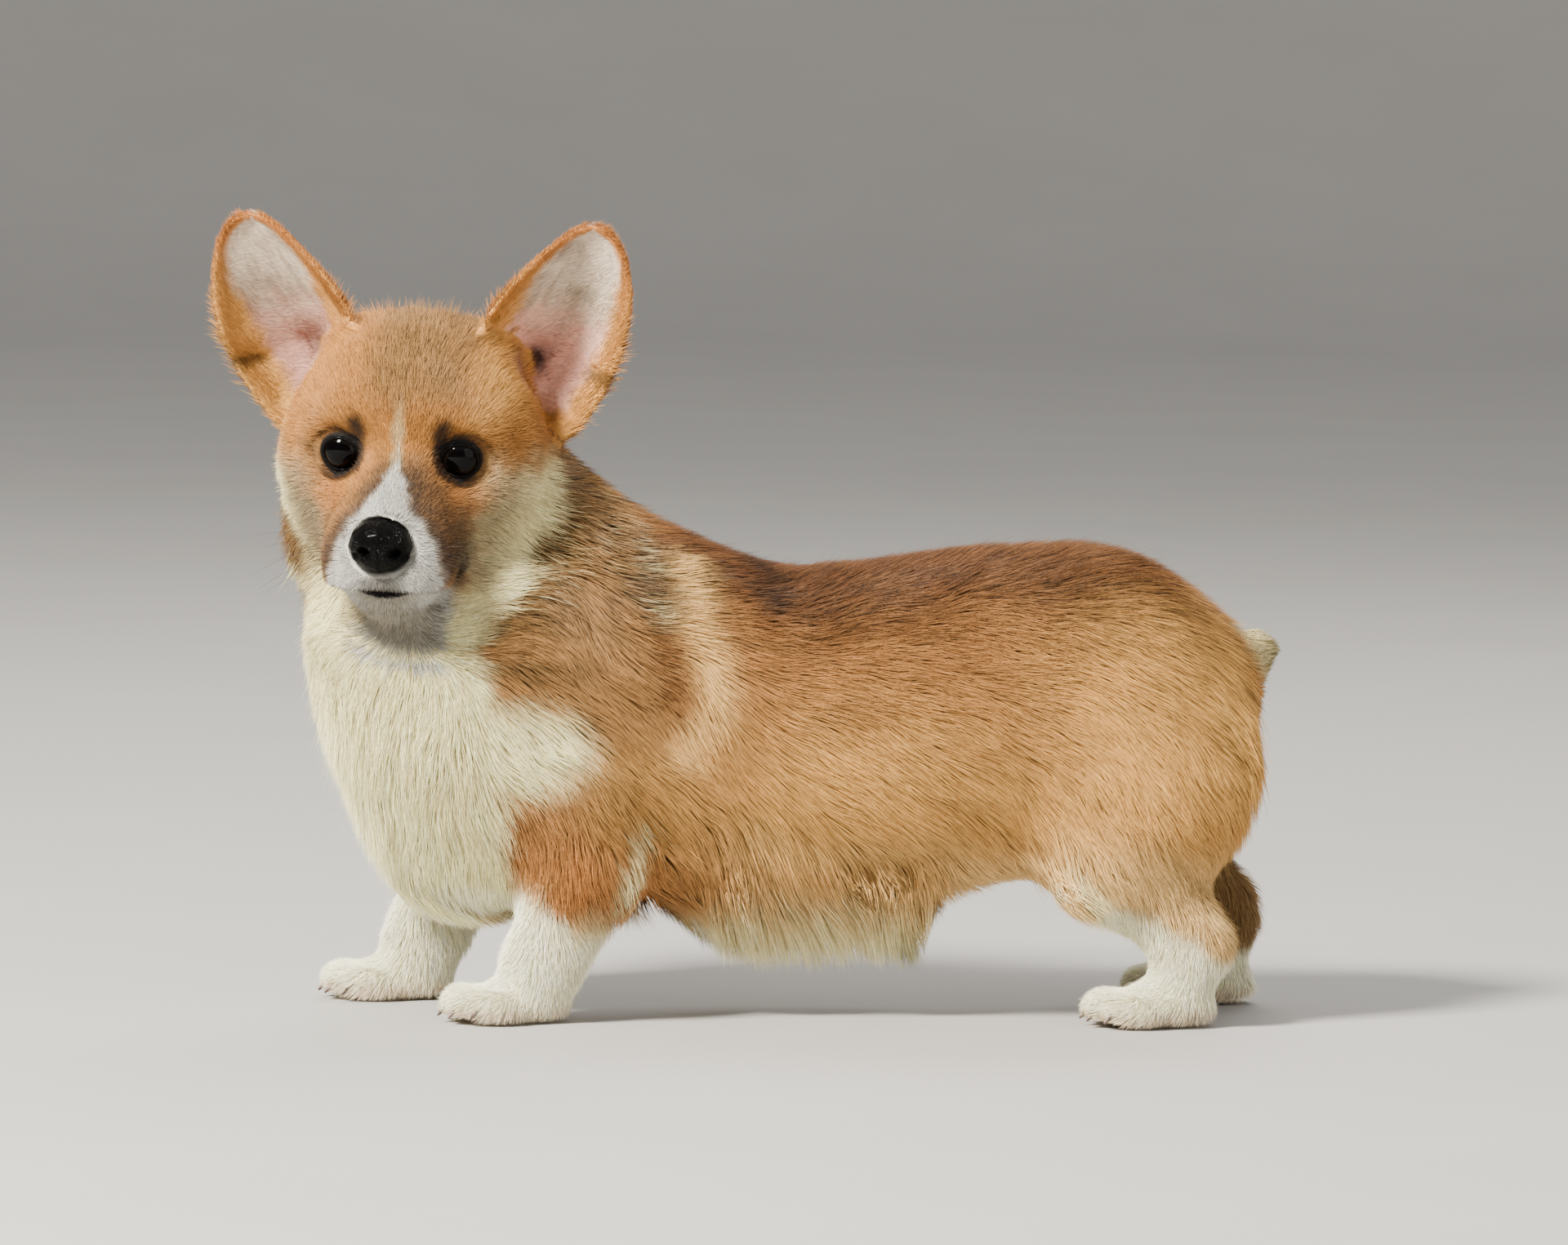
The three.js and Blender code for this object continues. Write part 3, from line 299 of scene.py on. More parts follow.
HEAD_LIES = (
    Lie((68, 0, -8), (-1, 0, 0.25), 2.8, 0.8, 0.34, 0),
    Lie((84, 8, -32), (-0.4, 0.6, -0.7), 2.4, 0.7, 0.32, 0),
    Lie((70, 22, -28), (-1, 0.3, -0.1), 3.2, 0.9, 0.34, 0),
    Lie((68, 20, -40), (-0.6, 0.4, -0.7), 3.6, 1, 0.34, 0.1),
    Lie((72, 0, -52), (-0.7, 0, -0.6), 4.5, 1.2, 0.34, 0.2),
    Lie((52, 12, -4), (-1, 0.2, 0.2), 3.4, 0.9, 0.34, 0),
    Lie((45, 0, 6), (-0.7, 0, 0.8), 4.2, 1.2, 0.36, 0.1),
    Lie((40, 18, 16), (-0.4, 0.25, 0.9), 4.6, 1.3, 0.36, 0.1),
    Lie((36, 36, 3), (-0.9, 0.6, 0.1), 4, 1, 0.36, 0.1),
    Lie((48, 26, -14), (-0.9, 0.6, -0.25), 4.2, 1.1, 0.36, 0.1),
    Lie((34, 0, 28), (-0.6, 0, 0.85), 5.5, 1.6, 0.38, 0.15),
    Lie((12, 0, 42), (-0.95, 0, 0.3), 7.5, 2.2, 0.4, 0.2),
    Lie((18, 30, 32), (-0.7, 0.4, 0.55), 6.5, 1.9, 0.4, 0.2),
    Lie((-25, 0, 45), (-1, 0, -0.2), 9, 3, 0.44, 0.25),
    Lie((-48, 0, 15), (-0.6, 0, -0.8), 13, 5, 0.48, 0.25),
    Lie((-35, 0, -25), (-0.4, 0, -0.95), 16, 6, 0.5),
    Lie((22, 46, -8), (-0.9, 0.3, -0.35), 7, 2.2, 0.4, 0.15),
    Lie((30, 45, -30), (-0.8, 0.45, -0.6), 9, 3.2, 0.44, 0.25),
    Lie((2, 56, -22), (-0.8, 0.2, -0.65), 12, 4.6, 0.48),
    Lie((8, 52, -50), (-0.5, 0.4, -0.85), 15, 6.5, 0.52, 0.4),
    Lie((-30, 42, -5), (-0.8, 0.1, -0.6), 12, 4.6, 0.48, 0.25),
    Lie((54, 22, -60), (-0.9, 0.3, -0.4), 6, 2.2, 0.38, 0.2),
    Lie((42, 34, -62), (-0.7, 0.4, -0.7), 9, 3.2, 0.44, 0.25),
    Lie((30, 0, -66), (-0.9, 0, -0.5), 9, 4, 0.46),
    Lie((4, 38, 34), (-0.4, 0.85, 0.3), 9, 1.8, 0.4, 0.2),
    Lie((0, 43, 18), (-0.5, 0.8, -0.1), 10, 2, 0.42, 0.25),
    Lie((-20, 32, 32), (-0.6, 0.4, 0.7), 9, 2.4, 0.44, 0.2),
)


LENGTH, DEPTH, WIDTH, CLUMP, HANG = range(3, 8)


class CoatMap:
    """Reads the coat at any place as a weighted mean of the lies near it."""

    SOFTEN = 9.0
    SHARP = 2.2
    BATCH = 20000

    def __init__(self) -> None:
        """Gathers the lies of trunk, legs and head in the row frame."""
        rows: list[tuple[Array, Array, Lie]] = []
        for lie in TRUNK_LIES:
            rows += self.placed(lie, 0.0)
        fore = self.leg_shift("forepaw_left", "forepaw_right")
        hind = self.leg_shift("hindpaw_left", "hindpaw_right")
        for lie in LEG_LIES:
            rows += self.placed(lie, fore if lie.at[1] < 0 else hind)
        for lie in HEAD_LIES:
            for side in (1, -1) if lie.at[1] > 0 else (1,):
                turn = np.array([1, side, 1])
                place = HEAD.out(np.array([lie.at]) * turn)[0]
                rows.append((place, HEAD.turn_out(np.array(lie.along) * turn), lie))
        self.places, self.values = self.packed(rows)

    @staticmethod
    def leg_shift(left: str, right: str) -> float:
        """How much further back the right foot of a pair stands than the left one."""
        return float(middle_of(right)[1] - middle_of(left)[1])

    @staticmethod
    def placed(lie: Lie, right_shift: float) -> list[tuple[Array, Array, Lie]]:
        """A lie of the body, and its twin on the right side when it lies left of the midline.

        Args:
            lie: the lie, with x from the midline.
            right_shift: how far the twin is moved along y.

        Returns:
            Place, direction and lie of each.
        """
        place = np.array(lie.at, float)
        along = np.array(lie.along, float)
        found = [(place + [MIDLINE, 0, 0], along, lie)]
        if lie.at[0] > 0:
            mirrored = place * [-1, 1, 1] + [MIDLINE, right_shift, 0]
            found.append((mirrored, along * [-1, 1, 1], lie))
        return found

    @staticmethod
    def packed(rows: list[tuple[Array, Array, Lie]]) -> tuple[Array, Array]:
        """Places, and the values read there: direction, length, depth, width, clump and hang."""
        places = np.array([row[0] for row in rows])
        values = []
        for _, along, lie in rows:
            values.append([*unit(along), lie.length, lie.depth, lie.width, lie.clump, lie.hang])
        return places, np.array(values)

    def read(self, points: Array, on_ear: Array) -> Array:
        """The coat at points.

        Args:
            points: places in the row frame.
            on_ear: true for a point of an ear.

        Returns:
            One row a point: direction, length, depth, width, clump and hang.
        """
        coat = self.mean(points)
        left = HEAD.into(points)[:, 1] > 0
        for side, mine in ((1, on_ear & left), (-1, on_ear & ~left)):
            if mine.any():
                coat[mine] = self.ear(points[mine], side)
        return coat

    def mean(self, points: Array) -> Array:
        """Weighted mean of the lies, with the nearest counting most."""
        out = np.empty((len(points), self.values.shape[1]))
        for start in range(0, len(points), self.BATCH):
            part = points[start:start + self.BATCH]
            square = ((part[:, None, :] - self.places[None]) ** 2).sum(-1)
            weight = (square + self.SOFTEN) ** -self.SHARP
            weight /= weight.sum(1, keepdims=True)
            out[start:start + self.BATCH] = weight @ self.values
        return out

    @staticmethod
    def ear(points: Array, side: int) -> Array:
        """The coat of an ear: flat on the back, long along the edges, in waves across the inside.

        Args:
            points: places on the ear.
            side: 1 for the left ear, -1 for the right one.

        Returns:
            Rows like those of read.
        """
        t, s, depth = on_leaf(points, side)
        inside = ramp(2.2, 1.4, depth)
        edge = ramp(0.6, 0.95, np.abs(s))
        low = ramp(0.62, 0.3, t)
        fluff = edge * low
        length = 3.0 + 4.5 * fluff + 3.4 * inside * (1 - edge)
        height = 0.65 + 1.3 * fluff
        width = 0.32 + 0.08 * fluff
        sweep = np.where(edge > 0.5, np.sign(s) * (0.1 + 0.8 * low),
                         inside * (0.75 + 0.5 * GRAIN.at(points, 9.0)))
        along = np.array([[0.0, 0.28, 0.96]]) + sweep[:, None] * np.array([[-0.1, 0.92, -0.6]])
        along = HEAD.turn_out(along * [1, side, 1])
        flat = np.zeros(len(points))
        return np.column_stack([along, length, height, width, flat + 0.15, flat])


# Lines on the surface


def line_distance(own: Array, line: Line) -> Array:
    """Distance of points to a line of straight pieces."""
    best = np.full(len(own), 1e9)
    for start, end in zip(line[:-1], line[1:]):
        a = np.array(start, float)
        b = np.array(end, float) - a
        t = np.clip(((own - a) @ b) / (b @ b), 0.0, 1.0)
        best = np.minimum(best, norms(own - a - t[:, None] * b))
    return best


TOE_STEPS = ((0, 0, -3), (0, 1.5, 4), (0, 7, 9.5))
TOE_GROOVE = 1.1
TOE_TOP = 20.0


def toe_lines() -> list[Line]:
    """Lines between neighbouring toes, from under their tips back over the paw."""
    lines = []
    for foot in ("fore_left", "fore_right", "hind_left", "hind_right"):
        claws = [middle_of(f"claw_{foot}_{number}") for number in range(1, 5)]
        for first, second in zip(claws[:-1], claws[1:]):
            middle = (first + second) * 0.5
            lines.append(tuple(tuple(middle + np.array(step)) for step in TOE_STEPS))
    return lines


TOE_LINES = toe_lines()


def toe_grooves(points: Array) -> Array:
    """How deep points lie in the grooves between the toes, from 0 to 1."""
    deep = np.zeros(len(points))
    low = np.flatnonzero(points[:, 2] < TOE_TOP)
    for line in TOE_LINES:
        away = line_distance(points[low], line)
        deep[low] = np.maximum(deep[low], bell(away, 0, TOE_GROOVE))
    return deep


# Markings


@dataclass(frozen=True)
class Spot:
    """A tint in a soft ellipsoid with a ragged edge."""

    tint: Array
    share: float
    at: Place
    size: Place
    edge: float = 0.35
    GRAIN_SIZE = 9.0
    RAGGED = 0.16

    def cover(self, points: Array) -> Array:
        """Share of the tint at points."""
        away = norms((points - np.array(self.at)) / np.array(self.size))
        away = away + GRAIN.at(points, self.GRAIN_SIZE) * self.RAGGED
        return ramp(1.0 + self.edge, 1.0 - self.edge, away) * self.share


@dataclass(frozen=True)
class Band:
    """A tint in a soft band with ragged edges along a line."""

    tint: Array
    share: float
    line: Line
    width: float
    soft: float = 1.3
    core: float = 0.4
    GRAIN_SIZE = 7.0
    RAGGED = 0.2

    def cover(self, points: Array) -> Array:
        """Share of the tint at points."""
        away = line_distance(points, self.line) + GRAIN.at(points, self.GRAIN_SIZE) * self.width * self.RAGGED
        return ramp(self.width * self.soft, self.width * self.core, away) * self.share


GOLD = paint((159, 111, 63))
PALE_GOLD = paint((220, 168, 92))
RED_BROWN = paint((97, 60, 32))
DARK = paint((42, 32, 26))
SABLE = paint((107, 86, 59))
ORANGE = paint((174, 111, 55))
CREAM = paint((246, 232, 176))
SOCK = paint((252, 244, 206))
WHITE = paint((191, 189, 181))
BLUSH = paint((214, 178, 160))
BLACK = paint((10, 8, 8))
GREY = paint((73, 63, 54))
FACE = paint((163, 111, 56))
BROW = paint((147, 110, 66))
CHEEK = paint((149, 135, 106))
PINK = paint((197, 145, 130))
EAR_HAIR = paint((206, 188, 166))
EAR_BACK = paint((166, 107, 57))
PAD = paint((84, 66, 62))

SIDES = (
    Spot(PALE_GOLD, 0.85, (56, 58, 78), (42, 80, 42), 0.6),
    Spot(PALE_GOLD, 0.85, (56, 176, 118), (48, 58, 66), 0.6),
)
SHOULDER = (
    Spot(BROW, 0.7, (62, -55, 130), (30, 34, 42), 0.5),
    Spot(BROW, 0.8, (50, -98, 172), (34, 44, 40), 0.5),
    # Painted light: this paler spot lightens the low shoulder, as if lit.
    Spot(PALE_GOLD * 0.85, 0.5, (60, -45, 86), (24, 22, 22), 0.5),
)
STRIPE = Band(PALE_GOLD * 0.82 + CREAM * 0.18, 0.8,
              ((30, -26, 182), (50, -23, 160), (58, -16, 141), (62, -15, 123), (61, -28, 106)), 6.2, 1.9)
BESIDE_STRIPE = (
    Band(RED_BROWN, 0.75, ((22, -42, 186), (44, -40, 165), (54, -34, 145), (60, -33, 124)), 6.5),
    Band(RED_BROWN, 0.7, ((10, 2, 181), (30, 2, 172), (46, 6, 158)), 8.0),
)
SADDLE = Band(DARK, 1.0, ((2, -2, 182), (22, 8, 177), (38, 9, 168)), 8.0)
NAPE = Band(SABLE, 1.0, ((9, -72, 222), (15, -63, 209), (24, -54, 197), (36, -45, 182), (45, -38, 169)),
            12.0, 1.5)
RIPPLES = Spot(RED_BROWN * 0.75, 1.0, (45, 188, 138), (36, 34, 42), 0.5)
RUMP = Spot(PALE_GOLD, 0.6, (40, 200, 105), (34, 26, 40), 0.6)
TAIL = Spot(CREAM * 0.62, 1.0, (0, 206, 148), (13, 14, 13), 0.4)
CHEST_PATCH = Spot(CREAM, 1.0, (55, -100, 108), (26, 34, 18), 0.3)
LEG_EDGES = (
    Band(CREAM, 0.9, ((44, -41, 74), (43, -45, 60), (42, -52, 44)), 4.8),
    Band(CREAM, 0.9, ((46, 122, 60), (44, 138, 46), (36, 150, 36)), 5.5),
)
CHEEKS = Spot(CHEEK, 1.0, (34, 50, -34), (34, 24, 28), 0.5)
UNDER_EYES = Spot(ORANGE, 0.6, (44, 27, -15), (11, 10, 7), 0.5)
SNOUT = Spot(GREY, 0.6, (86, 0, -37.5), (9, 10, 4), 0.5)
BRIDGE = Spot(WHITE * 0.6, 1.0, (64, 0, -8), (16, 11, 9), 0.6)
OVER_NOSE = Spot(GREY, 0.5, (77, 0, -11), (5, 2.5, 4), 0.5)
MOUTH_CORNERS = Spot(DARK * 0.8, 0.95, (55, 27, -43.5), (6.5, 5, 5.5), 0.35)
CHIN = Spot(CHEEK, 0.4, (78, 0, -47), (10, 16, 5), 0.4)
ROUND_EYES = (
    Band(DARK, 0.95, ((43, 16.5, 7.5), (42.5, 16.5, 11), (41.5, 18, 14.5)), 3.1, 1.9),
    Band(BROW * 0.5, 0.6, ((36, 33, 1.0), (30, 40, 1.0)), 2.4, 2.2),
    Band(DARK, 0.85, ((41, 15.5, -2.5), (46, 15, -7)), 1.5, 1.7),
)
# Painted shade: a dark pink spot in the hollow at the root of each ear.
EAR_HOLE_SHADE = Spot(PINK * 0.45, 1.0, (-14, 43, 19), (10, 7, 13), 0.4)


class Paints:
    """Colours at points, with tints laid over them one by one."""

    def __init__(self, base: Array, count: int = 1) -> None:
        """Starts from one colour at every point, or from a row for each."""
        self.rows = np.tile(base, (count, 1))

    def add(self, points: Array, *shapes: Spot | Band) -> None:
        """Lays soft shapes of colour over the points."""
        for shape in shapes:
            self.lay(shape.tint, shape.cover(points))

    def lay(self, tint: Array, share: Array) -> None:
        """Moves the colours towards a tint by a share from 0 to 1."""
        share = np.clip(share, 0.0, 1.0)[:, None]
        self.rows = self.rows * (1 - share) + tint * share


class Marks:
    """The colours of skin and coat, as soft shapes in the dog's frames."""

    BLAZE = ((-60, 24.5), (-44, 24), (-32, 23.4), (-22, 20), (-15, 15.8), (-8, 9.4),
             (-3, 5.2), (0.5, 2.6), (4, 0.8), (9, -1.5), (30, -8))
    CHEST_YAW = math.radians(28)
    CHEST_MIDDLE = (-6.8, -106.0)
    NECK_MIDDLE = (-17.0, -135.0)
    NECK_YAW = math.radians(50)

    def colours(self, points: Array, region: Array) -> tuple[Array, Array]:
        """Colour and share of black tips at points.

        Args:
            points: places in the row frame.
            region: number of each point's region.

        Returns:
            Linear colours, and the share of hair there that ends in black.
        """
        paints, tips = self.body(points)
        self.legs(points, region, paints)
        face, face_tips, front = self.head(points)
        share = np.where(region == Region.HEAD.number, front, 0.0)
        paints.lay(face.rows, share)
        tips = tips * (1 - share) + face_tips * share
        for ear, side in zip(EARS, (1, -1)):
            on_ear = region == ear.number
            if on_ear.any():
                paints.rows[on_ear] = self.ear(points[on_ear], side)
                tips[on_ear] = 0.0
        return paints.rows, tips

    def body(self, points: Array) -> tuple[Paints, Array]:
        """Paints and black tips of trunk and neck."""
        side = np.abs(points[:, 0] - MIDLINE)
        own = np.column_stack([side, points[:, 1], points[:, 2]])
        _, y, z = own.T
        streak = GRAIN.at(points * [1, 0.35, 1], 5.0)
        cloud = GRAIN.at(points, 26.0)
        paints = Paints(GOLD, len(points))
        paints.add(own, *SIDES)
        back = ramp(138, 186, z + cloud * 12 + streak * 8) * ramp(-70, -20, y)
        paints.lay(RED_BROWN * 0.9, back * (0.95 - 0.12 * ramp(60, 120, y)))
        tips = back * 0.6
        rear = ramp(165, 205, y) * ramp(60, 90, z)
        tips = np.maximum(tips, rear * 0.2)
        stripe = STRIPE.cover(own)
        paints.add(own, *SHOULDER)
        paints.lay(STRIPE.tint, stripe)
        paints.add(own, *BESIDE_STRIPE)
        saddle = SADDLE.cover(own)
        paints.lay(SADDLE.tint, saddle * 0.55)
        tips = np.maximum(tips, saddle * 0.9)
        nape = NAPE.cover(own)
        paints.lay(NAPE.tint, nape * (0.7 + 0.3 * streak))
        paints.lay(CREAM * 0.8, nape * ramp(0.1, 0.6, SIDE_GRAIN.at(points, 6.0)) * 0.6)
        tips = np.maximum(tips, nape * 0.6)
        rows = np.sin((y * 0.55 + z * 0.85 + cloud * 8) * math.tau / 9.0)
        ripple = ramp(0.1, 0.9, rows) * RIPPLES.cover(own)
        paints.lay(RIPPLES.tint, ripple * 0.4)
        belly = ramp(47, 27, z + GRAIN.at(points, 11.0) * 8) * ramp(165, 150, y)
        paints.lay(CREAM, belly)
        bib = self.bib(points)
        paints.lay(CREAM, bib)
        # Painted light: the lower flank is laid paler, as if lit, though it faces down.
        low = ramp(78, 52, z + cloud * 8) * ramp(-30, 10, y)
        # Painted shade: a darker band along the fold above the belly fringe, where the paler low flank is
        # also held back.
        fold_shade = bell(z, 57, 7.0) * ramp(-60, -30, y) * ramp(90, 70, y)
        low *= 1 - 0.8 * fold_shade
        paints.lay(GOLD * 0.8, fold_shade * 0.5)
        paints.lay(PALE_GOLD * 0.6 + CREAM * 0.4, low * (1 - belly) * 0.6)
        paints.add(own, RUMP)
        tail = TAIL.cover(own)
        paints.lay(TAIL.tint, tail * (0.85 + 0.15 * streak))
        tips = tips * (1 - belly) * (1 - bib) * (1 - stripe) * (1 - tail)
        return paints, tips

    def bib(self, points: Array) -> Array:
        """Share of white on throat, ruff and chest."""
        z = points[:, 2]
        wave = GRAIN.at(points, 13.0) * 4 + SIDE_GRAIN.at(points, 5.0) * 2
        chest = self.ahead(points, self.CHEST_MIDDLE, self.CHEST_YAW) + wave
        low = ramp(-3, 4, chest - 30 + np.clip(110 - z, 0, 80) * 0.39) * ramp(156, 144, z)
        neck = self.ahead(points, self.NECK_MIDDLE, self.NECK_YAW) + wave
        high = ramp(-4, 5, neck + 13 - np.clip(221 - z, 0, 90) * 0.74) * ramp(138, 150, z)
        high *= ramp(234, 216, z)
        return np.maximum(np.maximum(low, high), CHEST_PATCH.cover(points))

    @staticmethod
    def ahead(points: Array, middle: tuple[float, float], yaw: float) -> Array:
        """How far points lie ahead of a middle, in a direction turned left of straight ahead."""
        return (points[:, 0] - middle[0]) * math.sin(yaw) - (points[:, 1] - middle[1]) * math.cos(yaw)

    def legs(self, points: Array, region: Array, paints: Paints) -> None:
        """Adds the tan of the upper legs and the socks to the paints of the body."""
        x, y, z = points.T
        wave = GRAIN.at(points, 8.0) * 3
        fore = ramp(-30, -50, y)
        arm = fore * ramp(30, 40, z) * ramp(80, 58, z) * (1 - self.bib(points))
        paints.lay(ORANGE, arm * (0.52 + 0.3 * GRAIN.at(points, 14.0)))
        paints.add(points, *LEG_EDGES)
        left = x > MIDLINE
        fore_top = np.where(left, np.clip(49 - (y + 91) * 0.7, 34, 50), 46.0)
        hind_top = np.where(left, np.clip(46 - (y - 150) * 0.55, 24, 48), 22.0)
        # Painted shade: the right hind leg is laid a darker red-brown, as if in shadow.
        brown = (~left) * ramp(95, 110, y) * ramp(75, 60, z)
        paints.lay(RED_BROWN * 0.6, brown * 0.7)
        top = np.where(y < 40, fore_top, hind_top)
        on_leg = among(region, LEGS)
        sock = ramp(3, -3, z - top + wave) * on_leg
        paints.lay(SOCK, sock)
        toes = ramp(9, 3, z) * on_leg
        paints.lay(BLUSH, toes * 0.5)
        # Painted shade: the grooves between the toes are darkened with sable.
        paints.lay(SABLE, toe_grooves(points) * 0.6)

    def head(self, points: Array) -> tuple[Paints, Array, Array]:
        """Paints and black tips of the head, and how much of them holds towards the neck."""
        own = HEAD.into(points)
        x, y, z = own.T
        off = np.abs(y)
        mirrored = mirrored_left(own)
        fine = GRAIN.at(points, 4.0)
        streak = GRAIN.at(points * [1, 1, 0.6], 2.2)
        paints = Paints(FACE, len(points))
        crown = ramp(16, 32, z) * ramp(-70, -20, x) * ramp(28, 12, np.abs(y - 6) + fine * 2)
        paints.lay(BROW * 0.88, crown * 0.9)
        # Painted light: the dog's left side of the head is laid paler, as if lit.
        lit_temple = ramp(20, 36, y + fine * 3) * ramp(6, 24, z)
        paints.lay(PALE_GOLD, lit_temple * 0.5)
        middle = ramp(4.0, 0.5, off + fine * 1.5) * ramp(30, 14, z) * ramp(20, 36, x)
        paints.lay(CREAM * 0.85, middle * 0.36)
        cheek = CHEEKS.cover(mirrored)
        paints.lay(CHEEK, cheek * 0.9)
        # Pale streaks of hair on the cheeks, with painted light: they are laid stronger towards the dog's
        # left side, as if lit.
        pale = ramp(-0.1, 0.6, SIDE_GRAIN.at(points, 4.0)) * ramp(0, 20, y)
        paints.lay(CREAM * 0.8, cheek * (0.25 + 0.45 * pale) * ramp(-10, 20, y))
        paints.add(mirrored, UNDER_EYES)
        ruff = ramp(38, 54, off + (-z - 20) * 0.35 - x * 0.12 + fine * 3) * ramp(-4, -20, z)
        paints.lay(CREAM, ruff * 0.95)
        jaw = ramp(-44, -56, z + fine * 2) * ramp(-30, 10, x)
        jaw *= 1 - ramp(36, 43, off + fine * 2) * ramp(-48, -56, z)
        paints.lay(CREAM, jaw)
        levels = (-76, -66, -60, -48, -35, -29, -21, -10, 4)
        limit = np.interp(z, levels, (92, 74, 60, 27, 9, 3, -5, -12, -22))
        beyond = ramp(4, -5, x - limit + fine * 3) * ramp(34, 46, off) * ramp(14, 0, z)
        rear = BROW * 0.85 * (1 - 0.5 * np.clip(streak, 0, 1))[:, None]
        paints.lay(rear, beyond)
        rows = np.array(self.BLAZE)
        width = np.interp(z, rows[:, 0], rows[:, 1])
        inside = width - np.abs(y - 0.6) + fine * 1.3
        muzzle = ramp(-0.6, 1.8, inside) * ramp(38, 46, x + z * 0.2)
        reach = np.where(y > 0, 16.0, 12.5)
        edge = ramp(-reach, 0.5, inside) * (1 - muzzle) * ramp(34, 46, x) * ramp(8, -3, z)
        edge *= ramp(-46, -34, z)
        paints.lay(GREY * 0.9, edge * (0.9 + 0.1 * streak))
        paints.lay(WHITE, muzzle)
        paints.add(own, SNOUT)
        lips = ramp(4.5, 1.8, line_distance(mirrored, LIP_LINE) + fine)
        paints.lay(GREY, lips * 0.7)
        paints.lay(BRIDGE.tint, BRIDGE.cover(own) * muzzle * 0.8)
        paints.add(own, OVER_NOSE)
        paints.add(mirrored, MOUTH_CORNERS)
        paints.add(own, CHIN)
        # Painted shadow: the throat just under the chin is darkened as if shaded by the muzzle.
        throat = ramp(-49, -54, z + fine) * ramp(-76, -67, z) * ramp(27, 17, off) * ramp(30, 50, x)
        paints.lay(CHEEK * 0.55, throat * (0.66 + 0.2 * streak))
        for eye in EYES:
            inside, reach = eye.opening(points)
            ring = ramp(-2.9, -1.2, inside + fine * 0.4) * (reach < EYE_RADIUS + 5)
            paints.lay(DARK * 0.6, ring * 0.9)
        paints.add(mirrored, *ROUND_EYES)
        # Painted shade in the hollow at each ear's root.
        hole = EAR_HOLE_SHADE.cover(mirrored) * ramp(-20, -15, x)
        hole = np.where(y < 0, hole * ramp(-10, -14, x), hole)
        paints.lay(EAR_HOLE_SHADE.tint, hole * 0.9)
        tips = 0.2 * crown * (1 - muzzle) + 0.5 * edge + 0.3 * beyond
        return paints, tips * (1 - muzzle), ramp(-48, -22, x)

    def bare(self, points: Array, colour: Array) -> Array:
        """Colours of the skin itself, with dark lids, lips and pads.

        Args:
            points: places in the row frame.
            colour: the markings there.

        Returns:
            The markings with bare skin added.
        """
        paints = Paints(colour)
        for eye in EYES:
            inside, reach = eye.opening(points)
            near = (reach < EYE_RADIUS + 4) * 1.0
            paints.lay(BLACK, ramp(-1.7, -0.9, inside) * near)
        own = HEAD.into(points)
        mirrored = mirrored_left(own)
        paints.lay(BLACK, ramp(2.9, 1.9, lip_distance(own)))
        paints.lay(GREY * 0.5, ramp(1.2, 0.5, line_distance(mirrored, PHILTRUM)) * 0.8)
        paints.lay(PAD, ramp(2.2, 0.8, points[:, 2]))
        return paints.rows

    def ear(self, points: Array, side: int) -> Array:
        """Colour of an ear: orange rim and back, pale inside, pink at the root."""
        t, s, depth = on_leaf(points, side)
        fine = GRAIN.at(points, 3.0)
        wave = SIDE_GRAIN.at(np.column_stack([t * 60, s * 16, depth * 0]), 5.0)
        back = Paints(EAR_BACK, len(points))
        inner = Paints(EAR_HAIR, len(points))
        inner.lay(SABLE, ramp(0.0, 0.7, wave) * ramp(0.2, 0.4, t) * 0.35)
        hairs = SIDE_GRAIN.at(np.column_stack([t * 14, s * 42, depth * 0]), 2.0)
        inner.lay(SABLE, ramp(0.1, 0.8, hairs) * ramp(0.2, 0.4, t) * 0.4)
        # Painted light: the pink inside the left ear is laid lighter than in the right one, as if lit.
        pink = PINK * (1.35 if side > 0 else 1.05)
        inner.lay(pink, ramp(0.5, 0.25, t + fine * 0.06) * 0.9)
        # Painted shade: a pinkish-brown shade and a dark pit low inside the ear, set differently for each
        # ear.
        shade = np.exp(-((t - 0.25) / 0.06) ** 2 - ((s + 0.15) / 0.22) ** 2)
        inner.lay(PINK * 0.5, shade * (0.3 if side > 0 else 0.5))
        pit = np.exp(-((t - 0.19) / 0.04) ** 2 - ((s + 0.12) / 0.17) ** 2)
        inner.lay(PINK * 0.1, pit * (1.4 if side > 0 else 0.6))
        inner.lay(FACE, ramp(0.14, 0.09, t + fine * 0.02))
        wide = (0.08 if side > 0 else 0.2) * ramp(0.62, 0.32, t) + ramp(0.74, 0.98, t) * 0.5
        rim = ramp(0.64, 0.86, np.abs(s) + fine * 0.06 + wide)
        low = ramp(0.8, 0.35, t)
        tint = np.where(s > 0, 0.85 if side < 0 else 0.5, 0.45) * low
        edge = Paints(ORANGE, len(points))
        edge.lay(PALE_GOLD, tint)
        inner.lay(edge.rows, rim)
        # Painted shade: a dark line in the small fold at the outer base of the ear.
        notch = bell(t - 0.27 - 0.1 * (s - 0.9), 0, 0.018) * ramp(0.55, 0.75, s)
        inner.lay(DARK, notch * 0.8)
        back.lay(inner.rows, ramp(1.9, 1.1, depth))
        return back.rows


RIGHT_TIP_DROP = 3.0


def ear_own(points: Array, side: int) -> Array:
    """Points in the head's frame, as on the left ear. The right ear's tip stands lower."""
    own = HEAD.into(points) * [1, side, 1]
    if side < 0:
        own[:, 2] += RIGHT_TIP_DROP * np.clip(own[:, 2] / 80.0, 0.0, 1.0)
    return own


